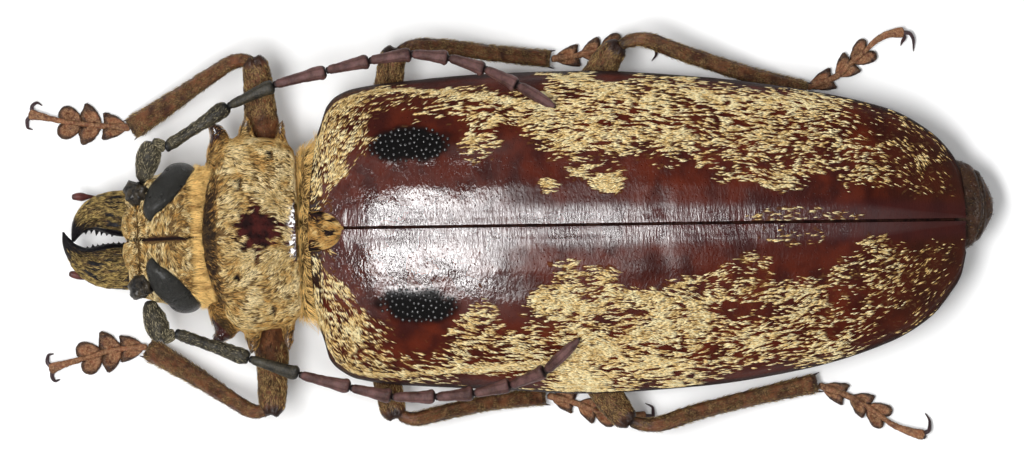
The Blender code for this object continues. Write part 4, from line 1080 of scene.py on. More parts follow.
prothorax = {
    "grid": (60, 110),
    "knots": (
        (-32.9, 6.9, 15.5, 5.7, 1.3), (-32.3, 7.9, 16.0, 5.2, 1.1), (-31.3, 9.2, 16.6, 4.7, 0.8),
        (-30.2, 10.1, 16.9, 4.4, 0.5), (-28.6, 10.4, 17.1, 4.2, 0.3), (-26.6, 10.2, 17.2, 4.1, 0.1),
        (-24.4, 9.8, 16.9, 4.2, 0.0), (-23.0, 9.1, 16.3, 4.8, -0.2), (-22.65, 8.4, 15.7, 5.3, -0.2),
    ),
    "bow": 4,
    "rim": 10.8,
    "powers": (2.1, 1.8),
    "close": 0.04,
    "draw": 0.5,
    "voxel": 0.18,
    "shine": (16.62, -23.5),   # height of the glossy place at the rear, and where it lies
    # spines: root, a place half way, tip, radius of the root
    "spines": (
        ((-7.4, -30.4), (-10.6, -30.7), (-12.35, -31.7), 2.05),
        ((7.4, -30.6), (10.2, -31.1), (11.55, -32.5), 2.3),
        ((-9.0, -27.8), (-11.4, -27.8), (-12.8, -27.5), 1.25),
        ((9.0, -28.1), (11.5, -28.1), (13.0, -28.4), 1.25),
        ((-8.6, -24.0), (-10.8, -24.1), (-12.3, -23.7), 0.8),
        ((8.6, -24.2), (11.2, -24.3), (12.85, -24.2), 0.8),
    ),
    "coxa": ((4.7, -26.1, 5.2), (2.7, 1.9, 2.1)),
    # the bare star in the middle of the back: place along, half width
    "star": (
        (-29.9, 0.0), (-29.0, 1.2), (-28.0, 2.5), (-27.4, 2.8), (-26.6, 1.7), (-25.5, 1.0), (-24.2, 0.4),
        (-23.4, 0.2),
    ),
    "pits": (
        (-5.44, -28.87, 0.65, 0.26), (-8.39, -25.39, 0.6, 0.22), (4.68, -29.57, 0.42, 0.42),
        (8.29, -25.88, 0.6, 0.26),
    ),
    "hairs": {
        "candidates": 84000, "lengths": (0.5, 0.95), "widths": (0.036, 0.064), "stands": (0.06, 0.11),
        "bend": 0.16,
    },
}


def hornOf(name, spots, radius, count=8, power=1.25):
    # a pointed piece along its bent line
    path = smoothPath(spots, count)
    halves = [radius * (1 - k / (count - 1)) ** power + 0.04 for k in range(count)]
    return drawnLimb(name, path, halves, 1.0, 10, count, levels=1, round=0.1)


def starBare(x, y, ragged):
    width = curveThrough(prothorax["star"], 1, y)
    inside = (width + 0.45 - np.abs(x + 0.45) + ragged * 2.8) * ease(-30.2, -29.4, y) * ease(-23.2, -23.8, y)
    return ease(-0.2, 0.35, inside)


def backPlace(local):
    # how far out each place of the back lies, and its place along with the back's bow taken out
    side = np.clip(np.abs(local[:, 0]) / curveThrough(prothorax["knots"], 1, local[:, 1]), 0, 1.3)
    return side, local[:, 1] - curveThrough(prothorax["knots"], 4, local[:, 1]) * side ** 2


def pronotumMarks(points):
    # how hairy and how dark each place of the back is
    local = unturned(points)
    x, y, z = local.T
    above = ease(10.5, 12.5, z)
    ragged = cloud(local, 0.85, 3, (0.5, 1.5, 1))
    side, bow = backPlace(local)
    star = starBare(x, y, ragged) * above
    band = ease(-31.3 + 0.5 * (side > 0.5), -31.7, bow + ragged * 0.5) * ease(0.98, 0.75, side) * above
    shine = ease(-23.9, -23.5, y + ragged * 0.4) * ease(3.7, 2.5, np.abs(x + 0.2)) * above
    pits = sum(ease(1.5, 0.7, np.hypot((x - a) / c, (y - b) / d)) for a, b, c, d in prothorax["pits"]) * above
    thorn = ease(1.0, 1.12, side)
    under = ease(8.5, 6.0, z)
    bare = np.clip(star * 0.95 + band * 0.3 + shine + pits + thorn * 0.5 + under * 0.35, 0, 1)
    dark = np.clip(band * 0.9 + pits + thorn * 0.35, 0, 1)
    return 1 - bare, dark, np.clip(shine + ease(1.05, 1.2, side), 0, 1), local, side


def makeProthorax():
    pieces = [formedBody("prothorax_form", prothorax)]
    for root, middle, tip, radius in prothorax["spines"]:
        spots = [
            turned((*spot, prothorax["rim"] + rise))
            for spot, rise in ((root, 0), (middle, 0.1), (tip, 0.5))
        ]
        pieces.append(hornOf("spine_form", spots, radius, 10, 0.75))
    centre, radii = prothorax["coxa"]
    for side in (right, left):
        pieces.append(formedBall(turned((side * centre[0], *centre[1:])) * mm, radii))
    shell = joinedAs("prothorax_shell", pieces)
    fused(shell, prothorax["voxel"], 5)
    points = pointsOf(shell.data)
    local = unturned(points)
    x, y, z = local.T
    above = ease(11.0, 13.5, z)
    side, bow = backPlace(local)
    rims = hump(bow, -32.6, 0.3) * 0.08 - hump(bow, -31.8, 0.4) * 0.12 + hump(bow, -22.9, 0.25) * 0.08
    rims = rims - hump(bow, -24.1, 0.3) * 0.14
    swell = (
        0.4 * hump(np.abs(x), 3.6, 2.0) * hump(y, -28.4, 1.9)
        + 0.25 * hump(np.abs(x), 5.6, 1.8) * hump(y, -25.4, 1.4)
    )
    dips = (
        -0.3 * hump(x, -0.4, 1.4) * hump(y, -27.3, 1.6)
        - 0.35 * hump(np.abs(x), 7.2, 1.2) * hump(y, -29.7, 1.2)
    )
    dips = dips - 0.12 * hump(x, -0.2, 0.14) * ease(-26, -24.5, y)
    pits = sum(hump(x, a, c) * hump(y, b, d) for a, b, c, d in prothorax["pits"])
    coarse = cloud(local, 1.8, 3) * 0.12
    shifted(shell, (rims + swell + dips - pits * 0.35) * above + coarse)
    points = pointsOf(shell.data)
    x, y, _ = unturned(points).T
    height, middle = prothorax["shine"]
    level = (
        height + 0.08 * (y - middle) - 0.04 * x - 0.012 * x ** 2 - 0.15 * hump(x, -0.2, 0.16)
        + 0.03 * cloud(points, 0.5, 2)
    )
    flat = (
        ease(-24.0, -23.6, y) * ease(-22.75, -22.9, y) * ease(4.0, 3.0, np.abs(x + 0.2))
        * (points[:, 2] > 14)
    )
    points[:, 2] += (level - points[:, 2]) * flat
    setPoints(shell.data, points)
    smoothShaded(shell)
    fur, dark, gloss, _, _ = pronotumMarks(pointsOf(shell.data))
    setMark(shell, "gloss", gloss)
    setMark(shell, "fur", fur)
    setMark(shell, "dark", dark)
    ground = Ground(shell)

    def grow(spots, normals, mark):
        _, dark, _, local, side = pronotumMarks(spots)
        x, y, z = local.T
        swirl = cloud(spots, 3.2, 2, shift=2.4) * 1.4
        inward = -np.sign(x) * ease(-29, -25, y) * ease(0, 3, np.abs(x)) * 0.55
        outward = np.sign(x) * ease(-29, -31.5, y) * 0.5
        turn = swirl + inward + outward
        lie = (turn, 1, -0.4 * ease(13, 9, z))
        chance = ease(0.2, 0.75, mark) * (1 - 0.55 * ease(8, 6, z)) * ease(-22.55, -22.8, y)
        worn = ease(0.0, 0.35, cloud(spots, 2.6, 2, shift=6.6)) + 0.6 * ease(-28.5, -31, y)
        thick = clumped(spots, 0.84 - 0.25 * worn - 0.15 * dark, 0.45, (0.6, 1.6, 1), 3.7)
        chance = chance * (0.1 + 0.9 * thick)
        tone = 0.82 + cloud(spots, 1.6, 2, shift=8.0) * 0.45 + noiseOf(spots) * 1.6 - 0.5 * dark - 0.12 * worn
        tone = tone - 0.26 * ease(0.85, 1.0, side) - 0.12 * ease(10, 7, z)
        return chance, lie, 1 - 0.3 * ease(0.5, 0.3, mark), 0.8 + 0.8 * ease(0.75, 1, side), tone

    unwrap = roundUnwrap(0, 10.8, -33.5, -22, unturned)
    for half in (right, left):
        def growHalf(spots, normals, mark, half=half):
            chance, *rest = grow(spots, normals, mark)
            return (chance * (unturned(spots)[:, 0] * half > 0), *rest)
        coat = growCoat(
            sideWord[half] + "PronotumHair", ground, {**prothorax["hairs"], "seed": 60 + half}, growHalf,
            unwrap,
        )
        kept(coat, furFinish, "thorax_fur")
    kept(shell, furSkinFinish, "thorax_fur", "prothorax")


# Head

headForm = {
    "grid": (100, 150),
    "knots": (
        (-41.0, 4.7, 10.2, 6.5), (-40.7, 5.4, 10.9, 6.0), (-40.1, 5.9, 12.4, 5.6), (-38.8, 6.4, 13.7, 5.2),
        (-37.0, 6.9, 14.6, 5.0), (-35.0, 7.2, 15.1, 5.1), (-33.0, 7.1, 15.0, 5.4), (-31.2, 6.3, 14.4, 6.0),
    ),
    "rim": 9.6,
    "powers": (2.3, 2.1),
    "close": 0.03,
    "draw": 0.35,
    "socket": ((5.15, -39.75, 12.1), (1.5, 1.35, 1.25)),
    "ridges": {right: ((-6.95, -37.65), (-4.29, -39.56)), left: ((6.97, -37.6), (4.08, -39.76))},
    "hairs": {
        "candidates": 62000, "seed": 71, "lengths": (0.45, 0.9), "widths": (0.036, 0.062),
        "stands": (0.06, 0.11), "bend": 0.22,
    },
    "fringe": {
        "candidates": 56000, "seed": 72, "lengths": (1.2, 1.8), "widths": (0.05, 0.08),
        "stands": (0.3, 0.42), "bend": 0.16, "rings": twoRings,
    },
}
eyeForm = {
    "grid": (80, 40),
    "crown": (
        (2.0, -38.55, 0.9), (3.1, -38.25, 2.0), (4.2, -37.6, 3.0), (5.3, -36.8, 3.4), (6.3, -35.9, 3.4),
    ),
    "side": (
        (7.15, -35.2, 11.9, 3.4), (7.45, -35.1, 10.3, 3.3), (7.2, -35.5, 8.7, 2.8), (6.6, -36.1, 7.4, 1.5),
    ),
    "depth": 1.0,
    "sink": 0.35,
    "axis": 7.6,
}


def headHeight(x, y):
    half = curveThrough(headForm["knots"], 1, y)
    top = curveThrough(headForm["knots"], 2, y)
    power = headForm["powers"][0]
    rim = headForm["rim"]
    return rim + (top - rim) * (1 - np.minimum(np.abs(x) / half, 0.98) ** power) ** (1 / power)


def eyeLine(side):
    spots = [(side * x, y, float(headHeight(x, y)), breadth) for x, y, breadth in eyeForm["crown"]]
    return spots + [(side * x, y, z, breadth) for x, y, z, breadth in eyeForm["side"]]


def makeEyeFinish():
    material, place, wire = newFinish("eyeFacets", IOR=1.5, Specular_IOR_Level=0.4)
    facets = place.cells(0.12, feature="DISTANCE_TO_EDGE").step(0.0, 0.2)
    haze = place.grain(1.4, 2).step(0.35, 0.75)
    base = haze.blend((0.002, 0.002, 0.002), (0.011, 0.0105, 0.009))
    # the facet rims are painted lighter than the facets, a painted sparkle; the same mask gives the facets
    # their bumps
    wire(Base_Color=facets.blend((0.045, 0.043, 0.036), base))
    wire(Roughness=haze * 0.2 + 0.26)
    wire(Normal=facets.relief(0.05))
    return material


def makeSocketFinish():
    material, place, wire = newFinish("darkShell", IOR=1.5, Specular_IOR_Level=0.3)
    wire(Base_Color=place.grain(0.7, 3).step().blend((0.006, 0.005, 0.005), (0.04, 0.03, 0.018)))
    wire(Roughness=place.grain(0.5) * 0.2 + 0.25)
    wire(Normal=place.cells(0.22).step(0.0, 0.5).relief(0.05))
    return material


eyeFinish = makeEyeFinish()
darkShellFinish = makeSocketFinish()


def makeEye(side):
    spots = eyeLine(side)

    def lay(p, q):
        line = smoothPath(spots, 81)
        k = p * 80
        low = np.clip(k.astype(int), 0, 79)
        part = (k - low)[:, None]
        ahead = np.gradient(line[:, :3], axis=0)
        ahead /= np.linalg.norm(ahead, axis=1)[:, None]
        outward = line[:, :3] - np.stack([0 * line[:, 1], line[:, 1], 0 * line[:, 1] + eyeForm["axis"]], 1)
        outward -= ahead * (outward * ahead).sum(1)[:, None]
        outward /= np.linalg.norm(outward, axis=1)[:, None]
        across = np.cross(ahead, outward)
        centre, out, wide = (a[low] * (1 - part) + a[low + 1] * part for a in (line, outward, across))
        ends = np.clip(np.minimum(p, 1 - p) / 0.07, 0.0, 1)
        half = centre[:, 3] / 2 * np.sqrt(1 - (1 - ends) ** 2)
        depth = np.minimum(eyeForm["depth"], half)
        turn = 2 * math.pi * q
        points = centre[:, :3] - out * eyeForm["sink"]
        points = points + wide * (np.cos(turn) * half)[:, None] + out * (np.sin(turn) * depth)[:, None]
        return turned(points)

    eye = formedTube(sideWord[side] + "Eye", *eyeForm["grid"], lay)
    smoothShaded(eye)
    kept(eye, eyeFinish, "eye", "eye_" + sideWord[side])


def eyeGap(points, side):
    # how far a place of the head is from the edge of the eye
    line = smoothPath(eyeLine(side), 60)
    gaps = np.linalg.norm(points[:, None] - line[None, :, :3], axis=2)
    nearest = gaps.argmin(1)
    return gaps[np.arange(len(points)), nearest] - line[nearest, 3] / 2


def ridgeGap(x, y, side):
    (x1, y1), (x2, y2) = headForm["ridges"][side]
    t = np.clip(((x - x1) * (x2 - x1) + (y - y1) * (y2 - y1)) / ((x2 - x1) ** 2 + (y2 - y1) ** 2), 0, 1)
    return np.hypot(x - x1 - t * (x2 - x1), y - y1 - t * (y2 - y1))


def makeHead():
    skin = formedBody("head_skin", headForm)
    local = unturned(pointsOf(skin.data))
    x, y, z = local.T
    above = ease(10.2, 11.6, z)
    gap = np.minimum(eyeGap(local, right), eyeGap(local, left))
    ridge = sum(hump(ridgeGap(x, y, side), 0, 0.3) for side in (right, left)) * above
    groove = hump(x, 0, 0.15 + 0.05 * ease(-37, -35, y)) * ease(-40.3, -39.6, y) * ease(-33.0, -34.0, y)
    lobes = hump(np.abs(x), 2.15, 1.1) * hump(y, -40.15, 0.55) * 0.16
    swell = (
        0.3 * hump(np.abs(x), 1.8, 1.1) * hump(y, -36.9, 1.5)
        + 0.28 * hump(np.abs(x), 3.4, 1.7) * hump(y, -34.2, 1.3)
    )
    dip = -0.3 * hump(np.abs(x), 1.9, 1.0) * hump(y, -39.0, 0.5) - 0.15 * hump(y, -33.0, 0.4)
    socket = -0.35 * ease(0.1, -0.35, gap) + 0.14 * hump(gap, 0.3, 0.18)
    shifted(
        skin,
        (groove * -0.3 + lobes + swell + dip) * above + ridge * 0.5 + socket + cloud(local, 1.1, 3) * 0.06,
    )
    smoothShaded(skin)
    fur = 1 - np.clip(ease(0.15, -0.1, gap) + groove * above * 1.1, 0, 1)
    setMark(skin, "fur", fur)
    setMark(skin, "dark", np.clip(groove * above * 1.4 + ease(0.3, 0.0, gap), 0, 1))
    ground = Ground(skin)
    unwrap = roundUnwrap(0, 9.6, -41.5, -30.5, unturned)

    def grow(spots, normals, mark):
        local = unturned(spots)
        x, y, z = local.T
        nearRidge = (
            np.maximum(hump(ridgeGap(x, y, right), 0, 0.35), hump(ridgeGap(x, y, left), 0, 0.35))
            * ease(10, 11, z)
        )
        swirl = cloud(spots, 1.7, 2, shift=4.4) * 1.6
        fan = 0.12 * x * ease(-35, -39, y)
        middle = hump(y, -37.4, 1.7) * ease(4.2, 2.6, np.abs(x))
        waves = 0.6 * np.sin(y * 4.5 + 1.5 * cloud(spots, 1.5, 1))
        clypeus = ease(-39.7, -40.1, y)
        lie = (
            swirl * (1 - middle) + fan + middle * np.sign(x) * 1.5,
            np.where(clypeus > 0.5, -1, 1 - middle * (0.9 - waves)),
            -0.3 * ease(11, 8, z),
        )
        chance = ease(0.2, 0.7, mark) * ease(-31.9, -32.4, y) * (1 - 0.4 * ease(7.5, 6, z))
        cover = 0.5 + 0.42 * ease(-35.5, -34, y) + 0.3 * nearRidge + 0.12 * clypeus
        chance = chance * (0.08 + 0.92 * clumped(spots, cover, 0.42, (1.5, 0.7, 1), 6.1))
        behindEye = ease(3.6, 5.0, np.abs(x)) * ease(-35.6, -34.6, y) * ease(-32.6, -33.4, y)
        tone = (
            0.8 - 0.05 * clypeus + 0.3 * nearRidge + cloud(spots, 0.9, 2, shift=1.0) * 0.45
            + noiseOf(spots) * 1.6
        )
        tone = tone - 0.14 * ease(-38.5, -36, y) * ease(-34, -35.5, y) - 0.35 * behindEye
        return chance, lie, 1 - 0.15 * clypeus, 1 - 0.4 * clypeus, tone

    coat = growCoat("headHair", ground, headForm["hairs"], grow, unwrap)
    kept(coat, furFinish, "head_fur")

    def growFringe(spots, normals, mark):
        local = unturned(spots)
        x, y, z = local.T
        temple = ease(5.0, 6.8, np.abs(x))
        chance = ease(-34.8, -34.2, y) * ease(-32.5, -33.0, y) * ease(8.5, 10.0, z) * ease(0.1, 0.4, mark)
        lie = (np.sign(x) * temple * 0.7 + cloud(spots, 1.2, 1) * 0.3, 1, 0.1)
        tone = 0.68 + 0.16 * temple + cloud(spots, 0.7, 2, (0.6, 1.6, 1)) * 0.4 + noiseOf(spots) * 1.2
        return chance, lie, 1, 1 + 0.5 * temple, tone

    fringe = growCoat("headFringe", ground, headForm["fringe"], growFringe, unwrap)
    kept(fringe, orangeHairFinish, "head_fur")
    kept(skin, furSkinFinish, "head_fur", "head")

    centre, radii = headForm["socket"]
    for side in (right, left):
        # the cup that the feeler turns in: a ball with its outer face sunk
        cup = formedBall(turned((side * centre[0], *centre[1:])) * mm, radii, 40, 24)
        cup.name = cup.data.name = sideWord[side] + "FeelerSocket"
        local = unturned(pointsOf(cup.data)) - np.array([side * centre[0], centre[1], centre[2]])
        toFeeler = local @ np.array([side * 0.86, 0.3, 0.1])
        shifted(
            cup,
            -0.45 * ease(0.75, 1.2, toFeeler) + 0.12 * hump(toFeeler, 0.7, 0.15)
            + cloud(local, 0.6, 3) * 0.22,
        )
        smoothShaded(cup)
        kept(cup, darkShellFinish, "antenna_base")


makeProthorax()
print("prothorax ready")
makeHead()
for side in (right, left):
    makeEye(side)
print("head ready")


# Finishes of the bare parts

def makeShellFinish(name, dark, bright, black, bumps=0.3, coat=0.4, rough=0.3, down=None):
    # horny skin between two colours; the "dark" mark brings in the third, the "fur" mark its down
    material, place, wire = newFinish(name, IOR=1.5, Specular_IOR_Level=coat * 0.5)
    fur, shade = readMark(place, "fur"), readMark(place, "dark")
    shell = place.grain(1.3, 3, 0.6).step().blend(dark, bright)
    shell = shade.blend(shell, black)
    covered = fur * place.grain(0.35, 3).step(0.32, 0.58)
    low, high = down or ((0.05, 0.028, 0.012), (0.24, 0.15, 0.06))
    fluff = place.grain(0.16, 2).step(0.38, 0.62).blend(low, high)
    wire(Base_Color=(covered * 0.8).blend(shell, fluff))
    wire(Roughness=covered * 0.35 + place.grain(0.7) * 0.14 + rough)
    pits = place.cells(bumps).step(0.0, 0.45)
    fine = place.grain(bumps * 0.4, 3)
    wire(Normal=fine.relief(0.03, pits.relief(bumps * 0.12)))
    return material


jawFinish = makeShellFinish(
    "jawShell", (0.02, 0.014, 0.007), (0.06, 0.035, 0.014), (0.006, 0.005, 0.006), 0.25, 0.25, 0.32,
)
palpFinish = makeShellFinish(
    "palpShell", (0.05, 0.013, 0.011), (0.12, 0.03, 0.024), (0.02, 0.006, 0.006), 0.2, 0.6, 0.28,
)
bellyFinish = makeShellFinish(
    "bellyShell", (0.014, 0.006, 0.004), (0.042, 0.017, 0.01), (0.008, 0.004, 0.003), 0.4, 0.4, 0.3,
)
legFinish = makeShellFinish(
    "legShell", (0.035, 0.013, 0.007), (0.15, 0.055, 0.023), (0.01, 0.005, 0.004), 0.28, 0.4, 0.32,
)
footFinish = makeShellFinish(
    "footShell", (0.075, 0.022, 0.011), (0.25, 0.09, 0.042), (0.02, 0.007, 0.005), 0.2, 0.35, 0.34,
    ((0.2, 0.1, 0.05), (0.45, 0.27, 0.14)),
)
clawFinish = makeShellFinish(
    "clawHorn", (0.03, 0.012, 0.014), (0.075, 0.035, 0.04), (0.01, 0.007, 0.009), 0.3, 0.8, 0.22,
)
feelerBaseFinish = makeShellFinish(
    "feelerBaseShell", (0.008, 0.007, 0.006), (0.04, 0.034, 0.022), (0.004, 0.004, 0.004), 0.2, 0.5, 0.3,
    ((0.006, 0.005, 0.004), (0.12, 0.1, 0.06)),
)
feelerEndFinish = makeShellFinish(
    "feelerEndShell", (0.045, 0.019, 0.019), (0.13, 0.062, 0.06), (0.01, 0.005, 0.005), 0.16, 0.35, 0.34,
)


greyHairFinish = makeHairFinish("greyGoldHair", (0.02, 0.016, 0.01), (0.5, 0.43, 0.27))
footHairFinish = makeHairFinish("copperHair", (0.07, 0.024, 0.012), (0.44, 0.25, 0.12))
oliveHairFinish = makeHairFinish("oliveHair", (0.018, 0.01, 0.005), (0.56, 0.4, 0.14))
brownHairFinish = makeHairFinish("brownHair", (0.022, 0.01, 0.005), (0.5, 0.33, 0.13))


def limbCoat(name, piece, path, coat, look, slot, place=None, finish=furFinish):
    # hairs lying along a limb; look gives each one's chance, lift and tone
    def grow(spots, normals, mark):
        share, side, height, forward = alongPath(spots, path, place)
        chance, lift, tone = look(share, side, height, mark)
        wobble = cloud(spots, 0.9, 2, shift=2.2) * 0.8
        lie = forward + np.cross([0, 0, 1.0], forward) * wobble[:, None]
        return chance, lie.T, 1, lift, tone + noiseOf(spots) * coat.get("speckle", 1.2)

    piece = growCoat(name, Ground(piece), coat, grow, limbUnwrap(path, place))
    return kept(piece, finish, slot)


# Mouth parts

jaws = {
    "paths": {
        right: (
            (-2.85, -39.6, 8.0), (-2.9, -41.4, 8.0), (-3.05, -42.9, 7.8), (-3.0, -44.1, 7.5),
            (-2.7, -45.1, 7.2), (-2.0, -46.0, 6.9), (-1.1, -46.6, 6.7), (-0.2, -46.95, 6.6),
        ),
        left: (
            (2.8, -39.6, 8.0), (2.75, -41.4, 8.0), (2.65, -42.9, 7.9), (2.5, -44.1, 7.9), (2.2, -45.2, 7.9),
            (1.6, -46.3, 8.0), (0.6, -47.2, 8.1), (-0.5, -47.75, 8.1), (-1.25, -47.95, 8.05),
        ),
    },
    "widths": {
        right: (4.9, 5.1, 4.7, 4.0, 3.2, 2.1, 1.2, 0.35),
        left: (4.9, 5.1, 5.1, 4.7, 3.9, 2.7, 1.6, 0.85, 0.3),
    },
    "flatness": 0.8,
    # where the tips of the teeth lie: place, reach, height
    "teeth": {
        right: (
            (-46.7, -0.75, 6.8), (-46.0, -0.86, 7.0), (-45.3, -0.8, 7.1), (-44.3, -0.58, 7.4),
            (-43.4, -0.48, 7.6), (-41.0, -0.4, 7.9),
        ),
        left: (
            (-46.0, 0.36, 7.9), (-45.1, 0.2, 7.9), (-44.4, 0.1, 7.9), (-43.7, 0.02, 7.9),
            (-42.9, -0.04, 7.9), (-41.0, 0.08, 7.9),
        ),
    },
    "toothStep": 0.56,
    "toothLength": 0.85,
    "toothRadius": 0.27,
    "voxel": 0.09,
    "hairs": {
        "candidates": 9000, "lengths": (0.45, 0.85), "widths": (0.045, 0.07), "stands": (0.03, 0.06),
        "bend": 0.12,
    },
}
lip = {
    "grid": (40, 90),
    "knots": ((-41.5, 2.0, 11.2), (-41.15, 2.9, 11.7), (-40.6, 3.4, 12.3), (-40.0, 3.6, 13.0)),
    "depths": (0.5, 1.1),
    "power": 2.6,
    "hairs": {
        "candidates": 7600, "seed": 85, "lengths": (0.4, 0.8), "widths": (0.036, 0.06),
        "stands": (0.06, 0.1), "bend": 0.3,
    },
}
palps = {
    "outer": {
        right: (
            (-3.4, -39.9, 5.2), (-4.2, -42.0, 4.2), (-4.9, -44.3, 4.2),
            (-4.9, -44.9, 4.3), (-4.95, -45.9, 4.5), (-5.0, -46.8, 4.7),
        ),
        left: (
            (3.4, -39.9, 5.2), (3.9, -42.0, 4.2), (4.0, -44.5, 4.2),
            (3.8, -45.3, 4.3), (3.5, -46.5, 4.5), (3.25, -47.5, 4.7),
        ),
    },
    "outerRadii": (0.5, 0.38, 0.15, 0.18, 0.54, 0.34),
    "inner": ((1.3, -40.1, 5.3), (1.5, -41.6, 4.1), (1.8, -43.2, 3.9), (1.9, -44.6, 4.0)),
    "innerRadii": (0.45, 0.32, 0.42, 0.28),
}


def makeJaw(side):
    path, widths = jaws["paths"][side], jaws["widths"][side]
    halves = [width / 2 for width in widths]
    pieces = [drawnLimb("jaw_form", path, halves, jaws["flatness"], 14, 14, turned)]
    line = jaws["teeth"][side]
    for k, y in enumerate(np.arange(line[0][0], line[-1][0], jaws["toothStep"])):
        size = 0.8 + 0.3 * (k * 7 % 5 / 4)
        x, z = float(curveThrough(line, 1, y)) + side * (1 - size) * 0.4, float(curveThrough(line, 2, y))
        spots = [turned((x + side * jaws["toothLength"] * away, y + 0.2 * away, z)) for away in (1, 0.5, 0)]
        pieces.append(hornOf("tooth_form", spots, jaws["toothRadius"] * size, 6, 0.9))
    jaw = joinedAs(sideWord[side] + "Jaw", pieces)
    fused(jaw, jaws["voxel"], 2)
    points = pointsOf(jaw.data)
    share, aside, height, _ = alongPath(points, path, turned)
    half = breadthAt(halves, share)
    inner = -side * aside / half
    upper = ease(0, 0.4, height)
    keel = 0.14 * hump(inner, 0.62, 0.14) - 0.16 * hump(inner, 0.86, 0.1) - 0.1 * hump(inner, 0.3, 0.16)
    edge = 0.1 * hump(inner, -0.78, 0.12) - 0.1 * hump(inner, -0.5, 0.12)
    shifted(jaw, (keel + edge) * upper * ease(0.95, 0.75, share) + cloud(points, 0.8, 2) * 0.05)
    streak = cloud(np.stack([share * 5.0, inner * 9.0, 0 * share], 1), 1.0, 2, shift=side * 3.0)
    margin = ease(0.66, 0.8, inner + 0.1 * streak) * ease(0.08, 0.2, share)
    tipward = ease(0.62, 0.8, share + 0.12 * streak)
    under = ease(-0.2, -0.9, height)
    dark = np.clip(margin + tipward + ease(0.1, 0.22, streak) + under * 0.5, 0, 1)
    setMark(jaw, "dark", dark)
    setMark(jaw, "fur", np.clip(1 - dark, 0, 1))
    smoothShaded(jaw)

    def look(share, aside, height, mark):
        inner = -side * aside / breadthAt(halves, share)
        fleck = cloud(np.stack([share * 30, aside * 2.5, 0 * aside], 1), 1.0, 2)
        tone = 0.62 - 0.36 * ease(0.0, 0.45, inner) - 0.2 * ease(0, -1, height) + 0.8 * fleck
        return ease(0.3, 0.8, mark) * ease(0.0, 0.06, share) * 0.75, 1, tone

    limbCoat(
        sideWord[side] + "JawHair", jaw, path, {**jaws["hairs"], "seed": 82 + side}, look, "mandible",
        turned, oliveHairFinish,
    )
    kept(jaw, jawFinish, "mandible", "mandible_" + sideWord[side])


def makeLip():
    first, last = lip["knots"][0][0], lip["knots"][-1][0]

    def lay(p, q):
        share, closing = closedSpan(p, 0.05)
        y = first + (last - first) * share
        half, top = curveThrough(lip["knots"], 1, y), curveThrough(lip["knots"], 2, y)
        sine, cosine = np.sin(2 * math.pi * q), np.cos(2 * math.pi * q)
        x = half * closing * np.sign(sine) * np.abs(sine) ** (2 / lip["power"])
        rise = np.where(cosine > 0, lip["depths"][0], lip["depths"][0] - lip["depths"][1])
        z = top - lip["depths"][0] + rise * closing * np.abs(cosine) ** (2 / lip["power"])
        notch = hump(x, 0, 0.5) * ease(-40.7, -41.4, y)
        lobe = hump(np.abs(x), 1.7, 0.9) * (cosine > 0)
        return turned(
            np.stack([x, y + notch * 0.45, z + 0.05 * lobe - 0.3 * hump(x, 0, 0.45) * (cosine > 0)], 1)
        )

    piece = formedTube("upperLip", *lip["grid"], lay)
    points = pointsOf(piece.data)
    local = unturned(points)
    shifted(piece, cloud(local, 0.7, 3) * 0.16)
    setMark(piece, "fur", ease(0.05, 0.3, np.abs(local[:, 0])))
    setMark(piece, "dark", hump(local[:, 0], 0, 0.16) + ease(-41.2, -41.5, local[:, 1]) * 0.5)
    smoothShaded(piece)

    def grow(spots, normals, mark):
        local = unturned(spots)
        lie = (0.22 * local[:, 0] + cloud(spots, 0.8, 2) * 1.4, -1, -0.3)
        tone = 0.66 + cloud(spots, 0.6, 2) * 0.6 + noiseOf(spots) * 1.6
        thick = 0.12 + 0.88 * clumped(spots, np.full(len(spots), 0.62), 0.4, (0.8, 1.3, 1), 2.9)
        return thick * ease(0.2, 0.7, mark) * ease(-0.2, 0.3, normals[:, 2]), lie, 1, 1, tone

    kept(
        growCoat("upperLipHair", Ground(piece), lip["hairs"], grow, roundUnwrap(0, 11, -42, -39.5, unturned)),
        furFinish, "head_fur",
    )
    kept(piece, furSkinFinish, "head_fur", "labrum")


def makePalps(side):
    word = sideWord[side]
    paths = {
        "maxillary_palp_": palps["outer"][side],
        "labial_palp_": [(side * x, y, z) for x, y, z in palps["inner"]]
    }
    for node, path in paths.items():
        radii = palps["outerRadii"] if node == "maxillary_palp_" else palps["innerRadii"]
        palp = drawnLimb(word + titled(node), path, radii, 0.9, 10, 12, turned)
        points = pointsOf(palp.data)
        share = alongPath(points, path, turned)[0]
        joints = hump(share, 0.33, 0.02) + hump(share, 0.66, 0.02)
        shifted(palp, -0.09 * joints + cloud(points, 0.6, 2) * 0.03)
        setMark(palp, "dark", joints + ease(0.95, 1, share) * 0.6)
        smoothShaded(palp)
        kept(palp, palpFinish, "palp", node + word)


for side in (right, left):
    makeJaw(side)
    makePalps(side)
makeLip()
print("mouth ready")


# Scutellum, chest and belly

